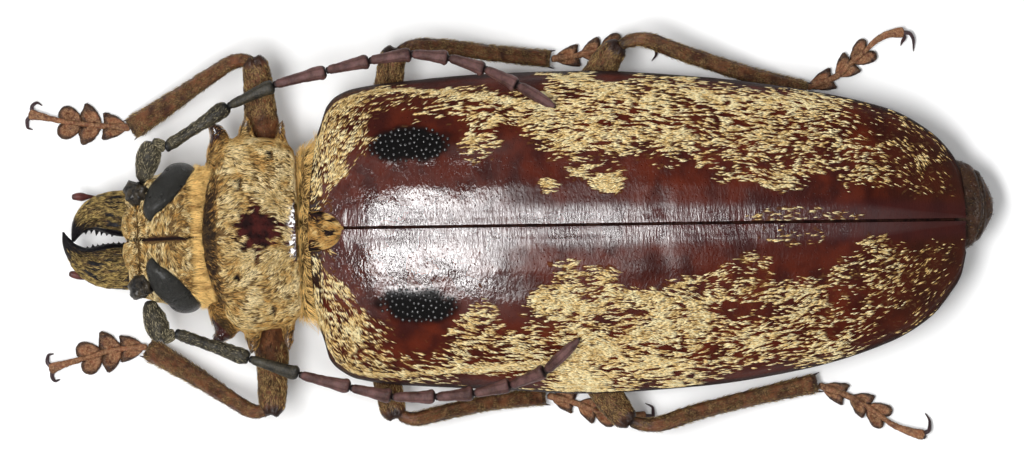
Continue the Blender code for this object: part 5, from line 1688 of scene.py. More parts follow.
shield = {
    "grid": (60, 70),
    "depths": (0.9, 1.35),
    "hairs": {
        "candidates": 5200, "seed": 91, "lengths": (0.6, 1.0), "widths": (0.05, 0.08),
        "stands": (0.06, 0.1), "bend": 0.15, "rings": twoRings,
    },
}
under = {
    "chestGrid": (90, 140),
    "bellyGrid": (200, 84),
    "room": 1.42,              # the body lies this far below the outer face of the wing cases
    "ends": (-22.3, 5.9, 6.22, 47.2),
    "heights": (
        (-22.3, 5.2), (-20.0, 3.9), (-14.0, 3.2), (0.0, 3.0), (20.0, 3.0), (35.0, 3.4), (44.0, 4.2),
        (47.2, 4.7),
    ),
    "powers": (2.4, 1.6),
    "collar": ((-22.3, 8.6, 15.3), (-21.6, 9.3, 15.8)),
    "collarRim": 10.0,
    "collarOffset": 0.4,
    "collarPowers": (2.2, 1.6),
    "plates": (6.22, 13.6, 21.4, 29.2, 37.0, 47.2),
    "plateStep": 0.3,
    "coxae": {"mid": ((5.3, -14.7, 4.2), (2.5, 2.1, 1.9)), "hind": ((5.2, 3.4, 4.2), (4.2, 1.6, 1.8))},
    "voxel": 0.4,
    "collarHairs": {
        "candidates": 90000, "seed": 93, "lengths": (1.0, 1.7), "widths": (0.055, 0.085),
        "stands": (0.35, 0.6), "bend": 0.18, "rings": twoRings,
    },
    "chestHairs": {
        "candidates": 15000, "seed": 94, "lengths": (0.6, 1.1), "widths": (0.07, 0.11),
        "stands": (0.06, 0.12), "bend": 0.2,
    },
    "bellyHairs": {
        "candidates": 9000, "seed": 95, "lengths": (0.5, 0.9), "widths": (0.06, 0.09),
        "stands": (0.04, 0.08), "bend": 0.15,
    },
}
tipForm = {
    "grid": (60, 80),
    "knots": (
        (47.4, 5.1, 8.0, 4.3), (48.8, 4.75, 7.8, 4.2), (50.0, 3.95, 7.5, 4.3),
        (51.0, 2.85, 7.1, 4.6), (51.7, 1.6, 6.6, 5.0), (52.03, 0.6, 6.2, 5.4),
    ),
    "middle": -2.95,
    "hairs": {
        "candidates": 1500, "seed": 96, "lengths": (0.25, 0.5), "widths": (0.04, 0.06),
        "stands": (0.05, 0.15), "bend": 0.2, "rings": twoRings,
    },
}


def makeShield():
    front, back = body["shieldEnds"]
    middle = body["suture"] + body["shieldOffset"]

    def lay(p, q):
        share, closing = closedSpan(p, 0.03)
        y = front + (back - front) * share
        width = body["shieldHalf"] * np.sqrt(np.clip(1 - share ** 3, 0.01, 1)) * closing
        top = body["shieldTops"][0] + (body["shieldTops"][1] - body["shieldTops"][0]) * share ** 0.7
        sine, cosine = np.sin(2 * math.pi * q), np.cos(2 * math.pi * q)
        rise = np.where(cosine > 0, shield["depths"][0], shield["depths"][0] - shield["depths"][1])
        return np.stack([middle + width * sine, y, top - shield["depths"][0] + rise * closing * cosine], 1)

    piece = formedTube("shieldTongue", *shield["grid"], lay)
    points = pointsOf(piece.data)
    x, share = points[:, 0] - middle, (points[:, 1] - front) / (back - front)
    width = body["shieldHalf"] * np.sqrt(np.clip(1 - share ** 3, 0.01, 1))
    edge = ease(0.8, 1.0, np.abs(x) / width) + ease(0.9, 1, share)
    groove = hump(x, 0, 0.14) * ease(0.6, 0.3, share)
    shifted(piece, -0.2 * groove + 0.1 * hump(np.abs(x) / width, 0.86, 0.1) + cloud(points, 0.8, 2) * 0.07)
    patches = (
        ease(-0.08, 0.2, cloud(points, 1.3, 2, shift=1.7)) * ease(0.9, 0.7, share)
        + hump(x, -0.4, 0.5) * hump(points[:, 1], -20.2, 0.5)
    )
    setMark(piece, "dark", groove + patches * 0.7 + edge * 0.7)
    setMark(piece, "fur", 1 - np.clip(groove * 0.9 + patches * 0.7 + edge * 0.4, 0, 1))
    smoothShaded(piece)

    def grow(spots, normals, mark):
        inward = -(spots[:, 0] - middle) * 0.25
        lie = (inward + cloud(spots, 1.0, 2) * 0.5, 1, 0)
        tone = 0.4 + cloud(spots, 0.8, 2) * 0.5 + noiseOf(spots) * 1.4
        return ease(0.2, 0.7, mark) * ease(0, 0.4, normals[:, 2]), lie, 1, 1, tone

    coat = growCoat("shieldHair", Ground(piece), shield["hairs"], grow, roundUnwrap(middle, 16, -22.5, -17))
    kept(coat, furFinish, "thorax_fur")
    kept(piece, furSkinFinish, "thorax_fur", "scutellum")


def underPoints(y, q, step=0.0):
    # a section of the body below the wing cases; q runs once round it from the crown
    half = np.where(q > 0.5, caseHalf(right, y), caseHalf(left, y)) - under["room"]
    crown = curveThrough(body["caseHeights"], 1, y) - under["room"]
    rim = curveThrough(body["caseHeights"], 2, y)
    bottom = curveThrough(under["heights"], 1, y) + step
    x, z = ovalRing(q, half, crown, rim, bottom, under["powers"])
    return np.stack([body["suture"] + x, y, z], 1)


def drawnIn(points, ends, centre):
    # closes a body section towards its middle line at both ends
    points[:, 0] = centre[0] + (points[:, 0] - centre[0]) * ends
    points[:, 2] = centre[1] + (points[:, 2] - centre[1]) * ends
    return points


def makeChest():
    front, back = under["ends"][:2]

    def lay(p, q):
        share, ends = closedSpan(p, 0.03)
        y = front + (back - front) * share
        half = curveThrough(under["collar"], 1, y) - under["collarOffset"] * (q > 0.5)
        top, low = curveThrough(under["collar"], 2, y), curveThrough(under["heights"], 1, y)
        x, z = ovalRing(q, half, top, under["collarRim"], low, under["collarPowers"])
        neck = np.stack([body["suture"] + under["collarOffset"] + x, y, z], 1)
        part = ease(-21.6, -20.0, y)[:, None]
        return drawnIn(neck * (1 - part) + underPoints(y, q) * part, ends, (body["suture"], 9))

    pieces = [formedTube("chest_form", *under["chestGrid"], lay)]
    for centre, radii in under["coxae"].values():
        for side in (right, left):
            where = Vector((body["suture"] + side * centre[0], *centre[1:])) * mm
            pieces.append(formedBall(where, radii))
    chest = joinedAs("chest", pieces)
    fused(chest, under["voxel"], 3)
    points = pointsOf(chest.data)
    x, y, z = points[:, 0] - body["suture"], points[:, 1], points[:, 2]
    below = ease(9, 7, z)
    lines = hump(x, 0, 0.35) * ease(-12, -11, y) * ease(2.4, 1, y) + hump(y, -12.2 + 0.02 * x ** 2, 0.35)
    lines = lines + hump(np.abs(x), 9.6 - 0.1 * y, 0.35) * ease(-12, -11, y)
    shifted(chest, -0.3 * lines * below + cloud(points, 1.5, 3) * 0.08)
    setMark(chest, "dark", lines * below * 0.8)
    setMark(chest, "fur", np.clip(0.85 - lines * below, 0, 1))
    smoothShaded(chest)
    ground = Ground(chest)
    unwrap = roundUnwrap(body["suture"], 9, -23, 7)

    def growCollar(spots, normals, mark):
        y, z = spots[:, 1], spots[:, 2]
        side = np.abs(spots[:, 0] - body["suture"] - 0.3)
        chance = ease(-20.2, -20.9, y) * ease(-22.9, -22.3, y) * ease(6, 9, z)
        lie = (np.sign(spots[:, 0] + 1.2) * 0.3 * ease(3, 8, side) + cloud(spots, 1.5, 2), 1, 0.3)
        tone = 0.76 + cloud(spots, 1.2, 2) * 0.4 + noiseOf(spots) * 1.4 + 0.1 * ease(6, 9, side)
        return chance, lie, 1, 1 + 0.6 * ease(6, 9, side), tone

    kept(
        growCoat("collarHair", ground, under["collarHairs"], growCollar, unwrap), orangeHairFinish,
        "thorax_fur",
    )

    def growBelow(spots, normals, mark):
        side = spots[:, 0] - body["suture"]
        lie = (0.05 * side + cloud(spots, 2.5, 2), 1, 0)
        chance = ease(9.5, 8.0, spots[:, 2]) * ease(0.2, 0.8, mark) * ease(-22.3, -21.5, spots[:, 1])
        tone = 0.5 + cloud(spots, 2.0, 2) * 0.3 + noiseOf(spots) * 0.8
        return chance, lie, 1, 1, tone

    kept(growCoat("chestHair", ground, under["chestHairs"], growBelow, unwrap), furFinish, "thorax_fur")
    kept(chest, furSkinFinish, "thorax_fur", "pterothorax")


def makeBelly():
    front, back = under["ends"][2:]
    plates = np.array(under["plates"])

    def lay(p, q):
        share, ends = closedSpan(p, 0.015)
        y = front + (back - front) * share
        k = np.clip(np.searchsorted(plates, y, side="right") - 1, 0, len(plates) - 2)
        within = (y - plates[k]) / (plates[k + 1] - plates[k])
        points = underPoints(y, q, -under["plateStep"] * ease(0.0, 1.0, within))
        below = np.clip((points[:, 2] - 8) / -4, 0, 1)
        points[:, 2] += below * 0.18 * hump(within, 0.03, 0.04)
        return drawnIn(points, ends, (body["suture"], 8))

    belly = formedTube("belly", *under["bellyGrid"], lay)
    points = pointsOf(belly.data)
    x, y, z = points[:, 0] - body["suture"], points[:, 1], points[:, 2]
    seams = sum(hump(y, place, 0.3) for place in under["plates"][1:-1])
    half = (caseHalf(right, y) + caseHalf(left, y)) / 2 - under["room"]
    side = np.abs(x) / half
    below = ease(8, 7, z)
    shifted(belly, (-0.3 * hump(side, 0.82, 0.03) + cloud(points, 3, 3) * 0.12) * below)
    setMark(belly, "dark", seams * below * 0.7 + hump(side, 0.82, 0.04) * below)
    setMark(belly, "fur", (0.3 + 0.4 * ease(0.5, 0.95, side)) * below)
    smoothShaded(belly, 50)

    def grow(spots, normals, mark):
        side = spots[:, 0] - body["suture"]
        lie = (-0.02 * side + cloud(spots, 2.5, 2) * 0.6, 1, 0)
        chance = ease(8, 7, spots[:, 2]) * ease(0.1, 0.7, mark)
        return chance, lie, 1, 1, 0.4 + noiseOf(spots) * 1.5

    kept(
        growCoat(
            "bellyHair", Ground(belly), under["bellyHairs"], grow, roundUnwrap(body["suture"], 8, 5, 48),
        ),
        furFinish, "belly",
    )
    kept(belly, bellyFinish, "belly", "abdomen")


def makeTip():
    knots = tipForm["knots"]

    def lay(p, q):
        share, closing = closedSpan(p, 0.04)
        share = share + 0.5 * (share - share ** 2)
        y = knots[0][0] + (knots[-1][0] - knots[0][0]) * share
        half, top, bottom = (curveThrough(knots, k, y) for k in (1, 2, 3))
        rim = (top + bottom) / 2 - 0.1
        sine, cosine = np.sin(2 * math.pi * q), np.cos(2 * math.pi * q)
        x = tipForm["middle"] + half * closing * sine
        return np.stack([x, y, rim + np.where(cosine > 0, top - rim, bottom - rim) * closing * cosine], 1)

    piece = formedTube("bellyTip", *tipForm["grid"], lay)
    points = pointsOf(piece.data)
    x, y = points[:, 0] - tipForm["middle"], points[:, 1]
    arc = y + 0.05 * x ** 2
    shifted(piece, 0.12 * hump(arc, 50.6, 0.3) - 0.14 * hump(arc, 51.1, 0.25) + cloud(points, 1.2, 3) * 0.1)
    setMark(piece, "dark", hump(arc, 51.1, 0.3) * 0.8 + ease(48.6, 47.8, y) * 0.8)
    setMark(piece, "fur", 0.12 + 0 * y)
    smoothShaded(piece)

    def grow(spots, normals, mark):
        return 0.25, ((spots[:, 0] - tipForm["middle"]) * 0.15, 1, 0), 1, 1, 0.1 + noiseOf(spots)

    kept(
        growCoat("bellyTipHair", Ground(piece), tipForm["hairs"], grow, roundUnwrap(-2.95, 6, 47, 52.5)),
        furFinish, "belly",
    )
    kept(piece, bellyFinish, "belly", "abdomen_tip")


makeShield()
makeChest()
makeBelly()
makeTip()
print("body ready")


# Feelers

feelers = {
    # the joints from the head to the tip, and their heights
    "joints": {
        right: (
            (-6.7, -39.3), (-11.0, -38.2), (-10.33, -36.8), (-14.7, -30.0), (-16.93, -25.1), (-18.36, -19.44),
            (-19.4, -14.8), (-20.06, -10.3), (-19.6, -6.3), (-18.34, -2.4), (-16.57, 1.05), (-14.05, 5.18),
        ),
        left: (
            (6.1, -38.8), (10.26, -37.44), (9.53, -36.03), (12.38, -28.1), (14.16, -22.8), (15.63, -17.3),
            (16.7, -12.9), (16.78, -8.2), (16.46, -4.1), (15.66, -0.16), (14.2, 3.6), (10.66, 7.4),
        ),
    },
    "heights": {
        right: (11.7, 12.3, 12.5, 13.0, 13.3, 13.6, 13.9, 14.2, 14.6, 15.3, 16.6, 18.3),
        left: (11.7, 12.3, 12.5, 13.0, 13.2, 13.4, 13.6, 13.9, 14.3, 14.9, 17.0, 19.2),
    },
    # share of a joint's length, radius there
    "scape": ((0.0, 0.5), (0.12, 0.85), (0.35, 1.18), (0.62, 1.36), (0.88, 1.12), (1.0, 0.72)),
    "pedicel": ((0.0, 0.5), (0.35, 0.68), (0.8, 0.62), (1.0, 0.45)),
    "third": ((0.0, 0.58), (0.07, 0.72), (0.2, 0.62), (0.6, 0.7), (0.91, 0.95), (1.0, 0.66)),
    "shaft": ((0.0, 0.4), (0.07, 0.5), (0.5, 0.62), (0.93, 0.8), (1.0, 0.56)),
    "last": ((0.0, 0.42), (0.1, 0.54), (0.4, 0.64), (0.75, 0.56), (1.0, 0.14)),
    "flatness": 0.82,
    "room": 0.04,
    "baseJoints": 4,
    "hairs": {
        "candidates": 2600, "lengths": (0.3, 0.55), "widths": (0.045, 0.07), "stands": (0.03, 0.06),
        "bend": 0.15, "speckle": 3.0,
    },
}


def makeFeeler(side):
    joints = np.array([(x, y, z) for (x, y), z in zip(feelers["joints"][side], feelers["heights"][side])])
    shapes = (
        [feelers["scape"], feelers["pedicel"], feelers["third"]] + [feelers["shaft"]] * 7
        + [feelers["last"]]
    )
    word = sideWord[side]
    for k, shape in enumerate(shapes):
        start, end = joints[k], joints[k + 1]
        step = (end - start) / np.linalg.norm(end - start) * feelers["room"]
        first, last = start + step * (k > 0), end - step
        path = [first + (last - first) * share for share, _ in shape]
        radii = [radius for _, radius in shape]
        joint = drawnLimb(
            f"{word}Feeler{k + 1:02d}", path, radii, feelers["flatness"], 12, 12, levels=2, round=0.12,
        )
        points = pointsOf(joint.data)
        share, aside, _, _ = alongPath(points, path)
        outer = ease(0.0, 0.5, aside * side)
        corner = 0.16 * hump(share, 0.93, 0.06) * outer if 2 < k < 10 else 0
        lumps = cloud(points, 0.7, 2) * (0.09 if k < 3 else 0.04)
        neck = -0.06 * hump(share, 0.05, 0.02) if k > 1 else 0
        shifted(joint, corner + lumps + neck)
        ends = ease(0.95, 0.99, share) + ease(0.07, 0.03, share)
        groove = hump(np.abs(aside), 0.45 * np.max(radii), 0.05) * (k > 2) * 0.5
        setMark(joint, "dark", np.clip(ends * (0.5 + 0.5 * (k > 1)) + groove, 0, 1))
        setMark(joint, "fur", (0.6 - 0.1 * k if k < 4 else 0.12) * (1 - np.clip(ends, 0, 1)))
        smoothShaded(joint)
        base = k < feelers["baseJoints"]
        if k < 3:
            def look(share, aside, height, mark):
                return 0.34 * ease(0.1, 0.6, mark + 0.1), 1, 0.5 - 0.1 * k

            coat = {**feelers["hairs"], "seed": 110 + k + 20 * (side > 0)}
            limbCoat(
                f"{word}FeelerHair{k + 1:02d}", joint, path, coat, look, "antenna_base",
                finish=greyHairFinish,
            )
        finish, slot = (feelerBaseFinish, "antenna_base") if base else (feelerEndFinish, "antenna_end")
        kept(joint, finish, slot, f"antenna_{word}_{k + 1:02d}")


# Legs

legs = {
    "femurPaths": {
        ("fore", right): (
            (-5.6, -26.1, 5.0), (-8.6, -26.2, 6.0), (-11.9, -26.4, 7.4),
            (-15.3, -26.65, 8.8), (-18.9, -26.95, 10.2), (-19.8, -27.1, 10.5),
        ),
        ("fore", left): (
            (4.6, -26.1, 5.0), (7.4, -26.0, 5.9), (10.6, -25.8, 7.2),
            (14.0, -25.65, 8.7), (17.4, -25.7, 10.2), (18.3, -25.8, 10.5),
        ),
        ("mid", right): (
            (-7.5, -14.4, 3.7), (-10.4, -13.9, 4.4), (-13.6, -13.4, 5.2),
            (-16.8, -12.8, 6.5), (-19.6, -12.3, 7.8), (-20.6, -12.1, 8.1),
        ),
        ("mid", left): (
            (4.5, -14.7, 3.7), (7.4, -14.5, 4.3), (10.8, -14.1, 5.0),
            (14.4, -13.5, 6.2), (17.9, -12.8, 7.8), (18.9, -12.6, 8.1),
        ),
        ("hind", right): (
            (-8.2, 4.3, 3.7), (-11.4, 6.1, 4.4), (-14.6, 8.0, 5.3),
            (-17.7, 9.8, 6.6), (-20.1, 11.4, 7.8), (-20.8, 12.0, 8.1),
        ),
        ("hind", left): (
            (5.2, 4.2, 3.7), (8.6, 5.7, 4.4), (12.6, 7.8, 5.3),
            (16.4, 10.0, 6.6), (19.2, 12.0, 7.8), (19.9, 12.6, 8.1),
        ),
    },
    "femurWidths": {
        "fore": (2.0, 3.3, 3.7, 3.25, 2.85, 1.9),
        "mid": (1.9, 2.9, 3.2, 3.0, 2.8, 2.1),
        "hind": (1.9, 3.1, 3.5, 3.3, 2.8, 1.9),
    },
    "femurFlatness": 0.68,
    "tibiaPaths": {
        ("fore", right): (
            (-19.5, -27.4, 10.4), (-19.7, -28.9, 9.8), (-18.6, -31.0, 8.6),
            (-15.9, -35.2, 5.3), (-12.75, -40.2, 1.75),
        ),
        ("fore", left): (
            (17.9, -26.1, 10.4), (18.2, -27.5, 9.9), (17.2, -29.4, 8.7), (14.6, -33.4, 5.4),
            (11.4, -38.7, 1.75),
        ),
        ("mid", right): (
            (-20.2, -11.7, 8.1), (-21.0, -10.2, 8.2), (-20.85, -7.2, 7.2), (-20.1, -1.6, 4.2),
            (-19.45, 4.2, 1.6),
        ),
        ("mid", left): (
            (18.6, -12.1, 8.1), (19.2, -10.8, 8.2), (18.5, -7.4, 7.0), (17.4, -1.4, 4.0), (17.0, 3.2, 1.6),
        ),
        ("hind", right): (
            (-20.8, 12.3, 8.2), (-21.45, 14.0, 8.3), (-20.0, 18.3, 7.2), (-17.6, 25.4, 4.3),
            (-15.65, 31.7, 1.7),
        ),
        ("hind", left): (
            (19.8, 12.9, 8.2), (20.2, 14.8, 8.2), (19.0, 19.2, 7.0), (17.3, 26.2, 4.1), (16.0, 32.5, 1.7),
        ),
    },
    "tibiaWidths": {
        "fore": (1.3, 1.55, 1.65, 1.95, 2.5),
        "mid": (1.2, 1.45, 1.6, 1.7, 1.8),
        "hind": (1.3, 1.55, 1.7, 1.75, 2.1),
    },
    "tibiaFlatness": 0.7,
    "spurLength": 1.3,
    "spurRadius": 0.24,
    "spurSplay": 0.45,
    # ends of the three lobed foot joints, then the claw joint's root, middle and end
    "footPaths": {
        ("fore", right): (
            (-12.65, -40.9), (-12.85, -43.75), (-13.1, -45.9), (-13.2, -46.9), (-13.75, -49.5),
            (-14.2, -51.5),
        ),
        ("fore", left): (
            (11.05, -39.35), (11.2, -41.9), (11.6, -44.1), (11.95, -45.1), (12.6, -47.6), (13.25, -49.7),
        ),
        ("mid", right): (
            (-19.4, 4.9), (-19.8, 7.8), (-20.35, 10.0), (-20.6, 11.0), (-21.0, 13.6), (-21.1, 15.6),
        ),
        ("mid", left): (
            (16.9, 4.0), (17.75, 6.95), (18.5, 8.8), (18.8, 9.8), (19.2, 12.2), (19.25, 14.3),
        ),
        ("hind", right): (
            (-16.0, 32.3), (-17.05, 35.4), (-18.55, 37.1), (-19.5, 38.3), (-21.5, 40.8), (-21.8, 42.7),
        ),
        ("hind", left): (
            (16.2, 33.2), (17.4, 36.35), (18.45, 38.2), (19.3, 39.4), (20.9, 41.7), (21.7, 44.3),
        ),
    },
    # lobes of those joints: length, width, splay in degrees
    "lobes": {
        "fore": ((2.9, 1.25, 17.0), (2.75, 1.7, 33.0), (2.9, 1.9, 27.0)),
        "mid": ((2.9, 1.1, 13.0), (2.6, 1.2, 18.0), (2.75, 1.35, 20.0)),
        "hind": ((3.0, 1.1, 12.0), (2.6, 1.2, 18.0), (2.95, 1.35, 21.0)),
    },
    "stem": ((0.85, 0.42), (0.6, 0.36), (0.6, 0.36), (0.6, 0.3)),
    "clawJoint": ((0.7, 0.24), (0.8, 0.26), (1.0, 0.32), (1.2, 0.42), (0.95, 0.66)),
    "claws": {
        ("fore", right): (
            ((0.0, -0.8), (-0.45, -1.4), (-1.05, -1.2)), ((0.2, 0.75), (0.0, 1.45), (-0.6, 1.55)),
        ),
        ("fore", left): (
            ((0.1, -0.85), (-0.3, -1.5), (-0.85, -1.4)), ((0.1, 0.8), (-0.1, 1.45), (-0.65, 1.4)),
        ),
        ("mid", right): (
            ((0.4, -0.5), (0.45, -1.3), (-0.1, -2.05)), ((0.35, 0.2), (0.1, 0.35), (-0.35, 0.25)),
        ),
        ("mid", left): (((0.95, 0.0), (0.9, 0.9), (0.05, 1.4)), ((0.3, -0.3), (0.1, 0.0), (-0.35, 0.3))),
        ("hind", right): (
            ((0.65, -0.2), (1.0, -1.15), (0.8, -2.25)), ((0.1, -0.6), (-0.2, -1.0), (-0.45, -1.4)),
        ),
        ("hind", left): (((0.5, 0.7), (0.3, 1.6), (-0.45, 2.35)), ((0.3, -0.2), (0.1, 0.1), (-0.35, 0.3))),
    },
    "petalGrid": (20, 32),
    "clawHeights": ((0.95, 0.9, 0.62, 0.3), (0.75, 0.6, 0.42, 0.2)),
    "clawRadii": (0.3, 0.25, 0.18, 0.05),
    # bare red-brown patch of each femur: middle and reach along it
    "patches": {"fore": (0.42, 0.2), "mid": (0.5, 0.2), "hind": (0.45, 0.22)},
    "femurHairs": {
        "speckle": 2.0, "candidates": 4200, "lengths": (0.4, 0.75), "widths": (0.05, 0.08),
        "stands": (0.04, 0.08), "bend": 0.12,
    },
    "tibiaHairs": {
        "candidates": 4000, "lengths": (0.35, 0.65), "widths": (0.045, 0.07), "stands": (0.04, 0.1),
        "bend": 0.15,
    },
    "footHairs": {
        "candidates": 2600, "lengths": (0.2, 0.4), "widths": (0.035, 0.05), "stands": (0.02, 0.05),
        "bend": 0.2,
    },
}


def makeFemur(pair, side):
    name = f"{pair}_femur_{sideWord[side]}"
    path, widths = legs["femurPaths"][pair, side], legs["femurWidths"][pair]
    halves = [width / 2 * 1.04 for width in widths]
    femur = drawnLimb(titled(name), path, halves, legs["femurFlatness"], 14, 13)
    points = pointsOf(femur.data)
    share, aside, height, _ = alongPath(points, path)
    half = breadthAt(halves, share)
    across = np.abs(aside) / half
    knee = (
        0.13 * hump(share, 0.96, 0.03) * ease(0.3, 0.7, across)
        - 0.22 * hump(share, 0.99, 0.03) * ease(0.5, 0.1, across)
    )
    shifted(femur, knee + cloud(points, 1.2, 3) * 0.07)
    middle, reach = legs["patches"][pair]
    ragged = cloud(points, 1.1, 3)
    patch = ease(1.2, 0.8, np.hypot((share - middle) / reach, across / 0.75) + ragged * 0.5)
    dark = np.clip(ease(0.94, 0.99, share) + ease(0.85, 1.0, across) * 0.6, 0, 1)
    setMark(femur, "dark", dark * 0.85)
    setMark(femur, "fur", np.clip(0.95 - patch * 0.85 - ease(0.93, 0.97, share), 0, 1))
    smoothShaded(femur)

    def look(share, aside, height, mark):
        tone = 0.45 + 0.6 * cloud(np.stack([share * 14, aside * 2, height], 1), 1.0, 2)
        return 0.1 + 0.45 * ease(0.2, 0.8, mark), 1, tone - 0.25 * ease(0.5, 0.2, mark)

    coat = {**legs["femurHairs"], "seed": seedOf(pair, side, 0)}
    limbCoat(titled(name) + "Hair", femur, path, coat, look, "leg", finish=brownHairFinish)
    kept(femur, legFinish, "leg", name)


def seedOf(pair, side, part):
    return 200 + 10 * ("fore", "mid", "hind").index(pair) + 3 * part + (side > 0)


def makeTibia(pair, side):
    name = f"{pair}_tibia_{sideWord[side]}"
    path, widths = legs["tibiaPaths"][pair, side], legs["tibiaWidths"][pair]
    halves = [width / 2 * 1.04 for width in widths]
    tibia = drawnLimb(titled(name), path, halves, legs["tibiaFlatness"], 12, 16)
    points = pointsOf(tibia.data)
    share, aside, _, _ = alongPath(points, path)
    half = breadthAt(halves, share)
    across = aside / half
    keels = (
        0.09 * hump(np.abs(across), 0.55, 0.14) - 0.09 * hump(across, 0, 0.2)
        + 0.05 * hump(np.abs(across), 1, 0.1)
    )
    mouth = 0.12 * ease(0.95, 0.99, share)
    shifted(tibia, keels * ease(0.03, 0.15, share) + mouth + cloud(points, 0.55, 3) * 0.06)
    edge = ease(0.72, 0.95, np.abs(across))
    setMark(tibia, "dark", np.clip(edge * 0.75 + hump(share, 0.99, 0.012) + ease(0.04, 0.0, share), 0, 1))
    setMark(tibia, "fur", np.clip(0.45 + cloud(points, 1.0, 2) - edge * 0.3, 0, 1))
    smoothShaded(tibia)
    end, before = np.array(path[-1]), np.array(path[-2])
    forward = (end - before) / np.linalg.norm(end - before)
    aslant = np.cross([0, 0, 1.0], forward)
    aslant /= np.linalg.norm(aslant)
    spurs = []
    for way in (-1, 1):
        root = end + aslant * way * widths[-1] * 0.3 - forward * 0.3
        tip = root + forward * legs["spurLength"] + aslant * way * legs["spurSplay"]
        tip[2] = max(tip[2], 0.5)
        spurs.append(
            hornOf("spur", [root, (root + tip) / 2 + aslant * way * 0.06, tip], legs["spurRadius"], 6)
        )
    spur = joinedAs(titled(name) + "Spurs", spurs)
    setMark(spur, "dark", np.full(len(spur.data.vertices), 0.6))
    smoothShaded(spur)
    kept(spur, clawFinish, "leg")

    def look(share, aside, height, mark):
        sides = ease(0.6, 0.95, np.abs(aside) / half.mean())
        return 0.12 + 0.25 * mark + 0.3 * sides, 1.0 + 0.8 * sides, 0.36 + 0.25 * sides

    coat = {**legs["tibiaHairs"], "seed": seedOf(pair, side, 1)}
    limbCoat(titled(name) + "Hair", tibia, path, coat, look, "leg", finish=brownHairFinish)
    kept(tibia, legFinish, "leg", name)


def petal(root, heading, way, length, width, pointed):
    # one pad of a foot joint: flat sole, domed back, its outer corner drawn out
    def lay(p, q):
        turn = 2 * math.pi * q
        share = np.where(
            p < 0.45, p / 0.45 * 0.92,
            np.where(p < 0.6, 0.92 + 0.08 * np.sin((p - 0.45) / 0.15 * math.pi), (1 - p) / 0.4 * 0.92),
        )
        rise = np.clip((p - 0.45) / 0.55, 0, 1)
        height = (
            0.95 * np.sin(np.clip(rise / 0.45, 0, 1) * math.pi / 2) ** 0.8
            * (1 - 0.25 * ease(0.45, 1, rise))
        )
        away = np.angle(np.exp(1j * (turn - way * 0.5)))
        share = share * (1 + pointed * np.exp(-(away / 0.3) ** 2))
        along = length * 0.5 * (1 + share * np.cos(turn))
        across = width * 0.5 * share * np.sin(turn) * (1 + (0.3 + pointed) * np.cos(turn))
        x = root[0] + along * math.cos(heading) - across * math.sin(heading)
        y = root[1] + along * math.sin(heading) + across * math.cos(heading)
        return np.stack([x, y, height * (0.8 + 0.2 * np.cos(turn) * share)], 1)

    pad = formedTube("petal", *legs["petalGrid"], lay)
    away = pointsOf(pad.data)[:, :2] - root
    ahead = away @ np.array([math.cos(heading), math.sin(heading)])
    aside = away @ np.array([-math.sin(heading), math.cos(heading)])
    setMark(pad, "rim", ease(0.6, 0.88, np.hypot(ahead / (length * 0.5) - 1, aside / (width * 0.5))))
    return pad


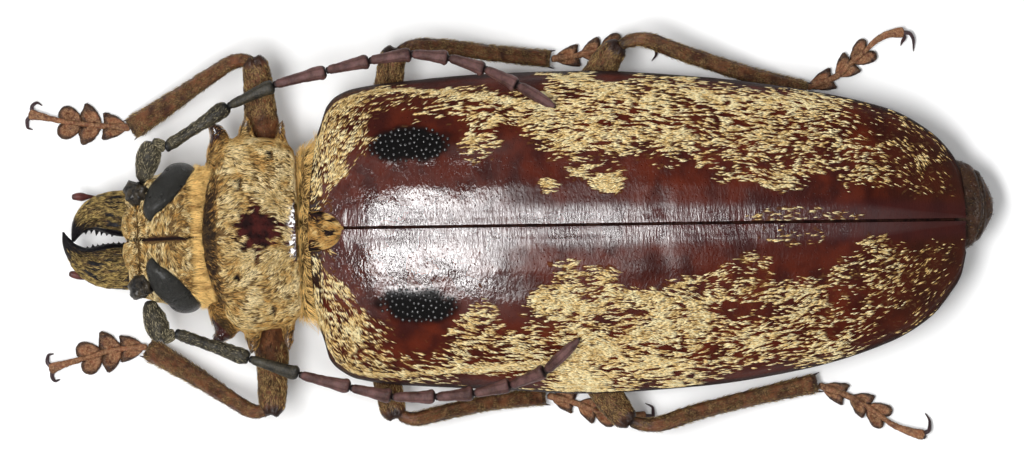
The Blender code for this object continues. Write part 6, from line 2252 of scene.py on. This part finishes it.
def makeFoot(pair, side):
    name = f"{pair}_tarsus_{sideWord[side]}"
    plan = np.array(legs["footPaths"][pair, side])
    pieces = []
    for k, (length, width, splay) in enumerate(legs["lobes"][pair]):
        step = plan[k + 1] - plan[k]
        heading = math.atan2(step[1], step[0])
        for way in (-1, 1):
            pieces.append(
                petal(
                    plan[k], heading + way * math.radians(splay), way, length, width, 0.0 if k == 2 else 0.3,
                )
            )
    stem = [(*spot, height) for spot, (height, _) in zip(plan, legs["stem"])]
    pieces.append(drawnLimb("stem", stem, [radius for _, radius in legs["stem"]], 1.0, 10, 12, levels=1))
    clawPlan = smoothPath(np.column_stack([plan[2:], np.zeros(4)]), 5)[:, :2]
    last = [(*spot, height) for spot, (height, _) in zip(clawPlan, legs["clawJoint"])]
    pieces.append(
        drawnLimb(
            "clawJoint", last, [radius for _, radius in legs["clawJoint"]], 0.75, 10, 12, levels=1,
            round=0.2,
        )
    )
    foot = joinedAs(titled(name), pieces)
    points, normals = pointsOf(foot.data), pointsOf(foot.data, "normal")
    rim = marksOf(foot, "rim")
    flat = points[:, 2] < 0.14
    points[flat, 2] = 0.0
    points[:, 2] = np.maximum(points[:, 2], 0)
    setPoints(foot.data, points)
    shifted(foot, cloud(points, 0.45, 3) * 0.07 * (points[:, 2] > 0.2))
    # faces that turn away from straight up are painted darker and barer: painted shade on the sides of the
    # pads
    edge = ease(0.62, 0.2, normals[:, 2])
    setMark(foot, "dark", edge * 0.7 + rim + ease(0.1, 0.4, cloud(points, 1.2, 2)) * 0.3)
    setMark(foot, "fur", np.clip(0.7 - edge * 0.5 - rim * 0.5, 0, 1) * (points[:, 2] > 0.1))
    smoothShaded(foot, 50)
    ahead = (plan[5] - plan[4]) / np.linalg.norm(plan[5] - plan[4])
    aslant = np.array([-ahead[1], ahead[0]])
    claws = []
    for claw, heights in zip(legs["claws"][pair, side], legs["clawHeights"]):
        spots = [plan[5] - ahead * 0.3] + [plan[5] + ahead * on + aslant * out for on, out in claw]
        claws.append(
            drawnLimb(
                "claw", [(*spot, z) for spot, z in zip(spots, heights)], legs["clawRadii"], 1.0, 8, 12,
                levels=1, round=0.1,
            )
        )
    claw = joinedAs(titled(name) + "Claws", claws)
    setMark(claw, "dark", np.full(len(claw.data.vertices), 0.4))
    smoothShaded(claw)
    kept(claw, clawFinish, "foot")
    path = [(*spot, 0.6) for spot in plan]

    def look(share, aside, height, mark):
        return 0.5 * ease(0.1, 0.5, mark + 0.1), 1, 0.4 + 0.1 * ease(0.4, 1.2, np.abs(aside))

    coat = {**legs["footHairs"], "seed": seedOf(pair, side, 2)}
    limbCoat(titled(name) + "Hair", foot, path, coat, look, "foot", finish=footHairFinish)
    kept(foot, footFinish, "foot", name)


for side in (right, left):
    makeFeeler(side)
    for pair in ("fore", "mid", "hind"):
        makeFemur(pair, side)
        makeTibia(pair, side)
        makeFoot(pair, side)
print("feelers and legs ready")
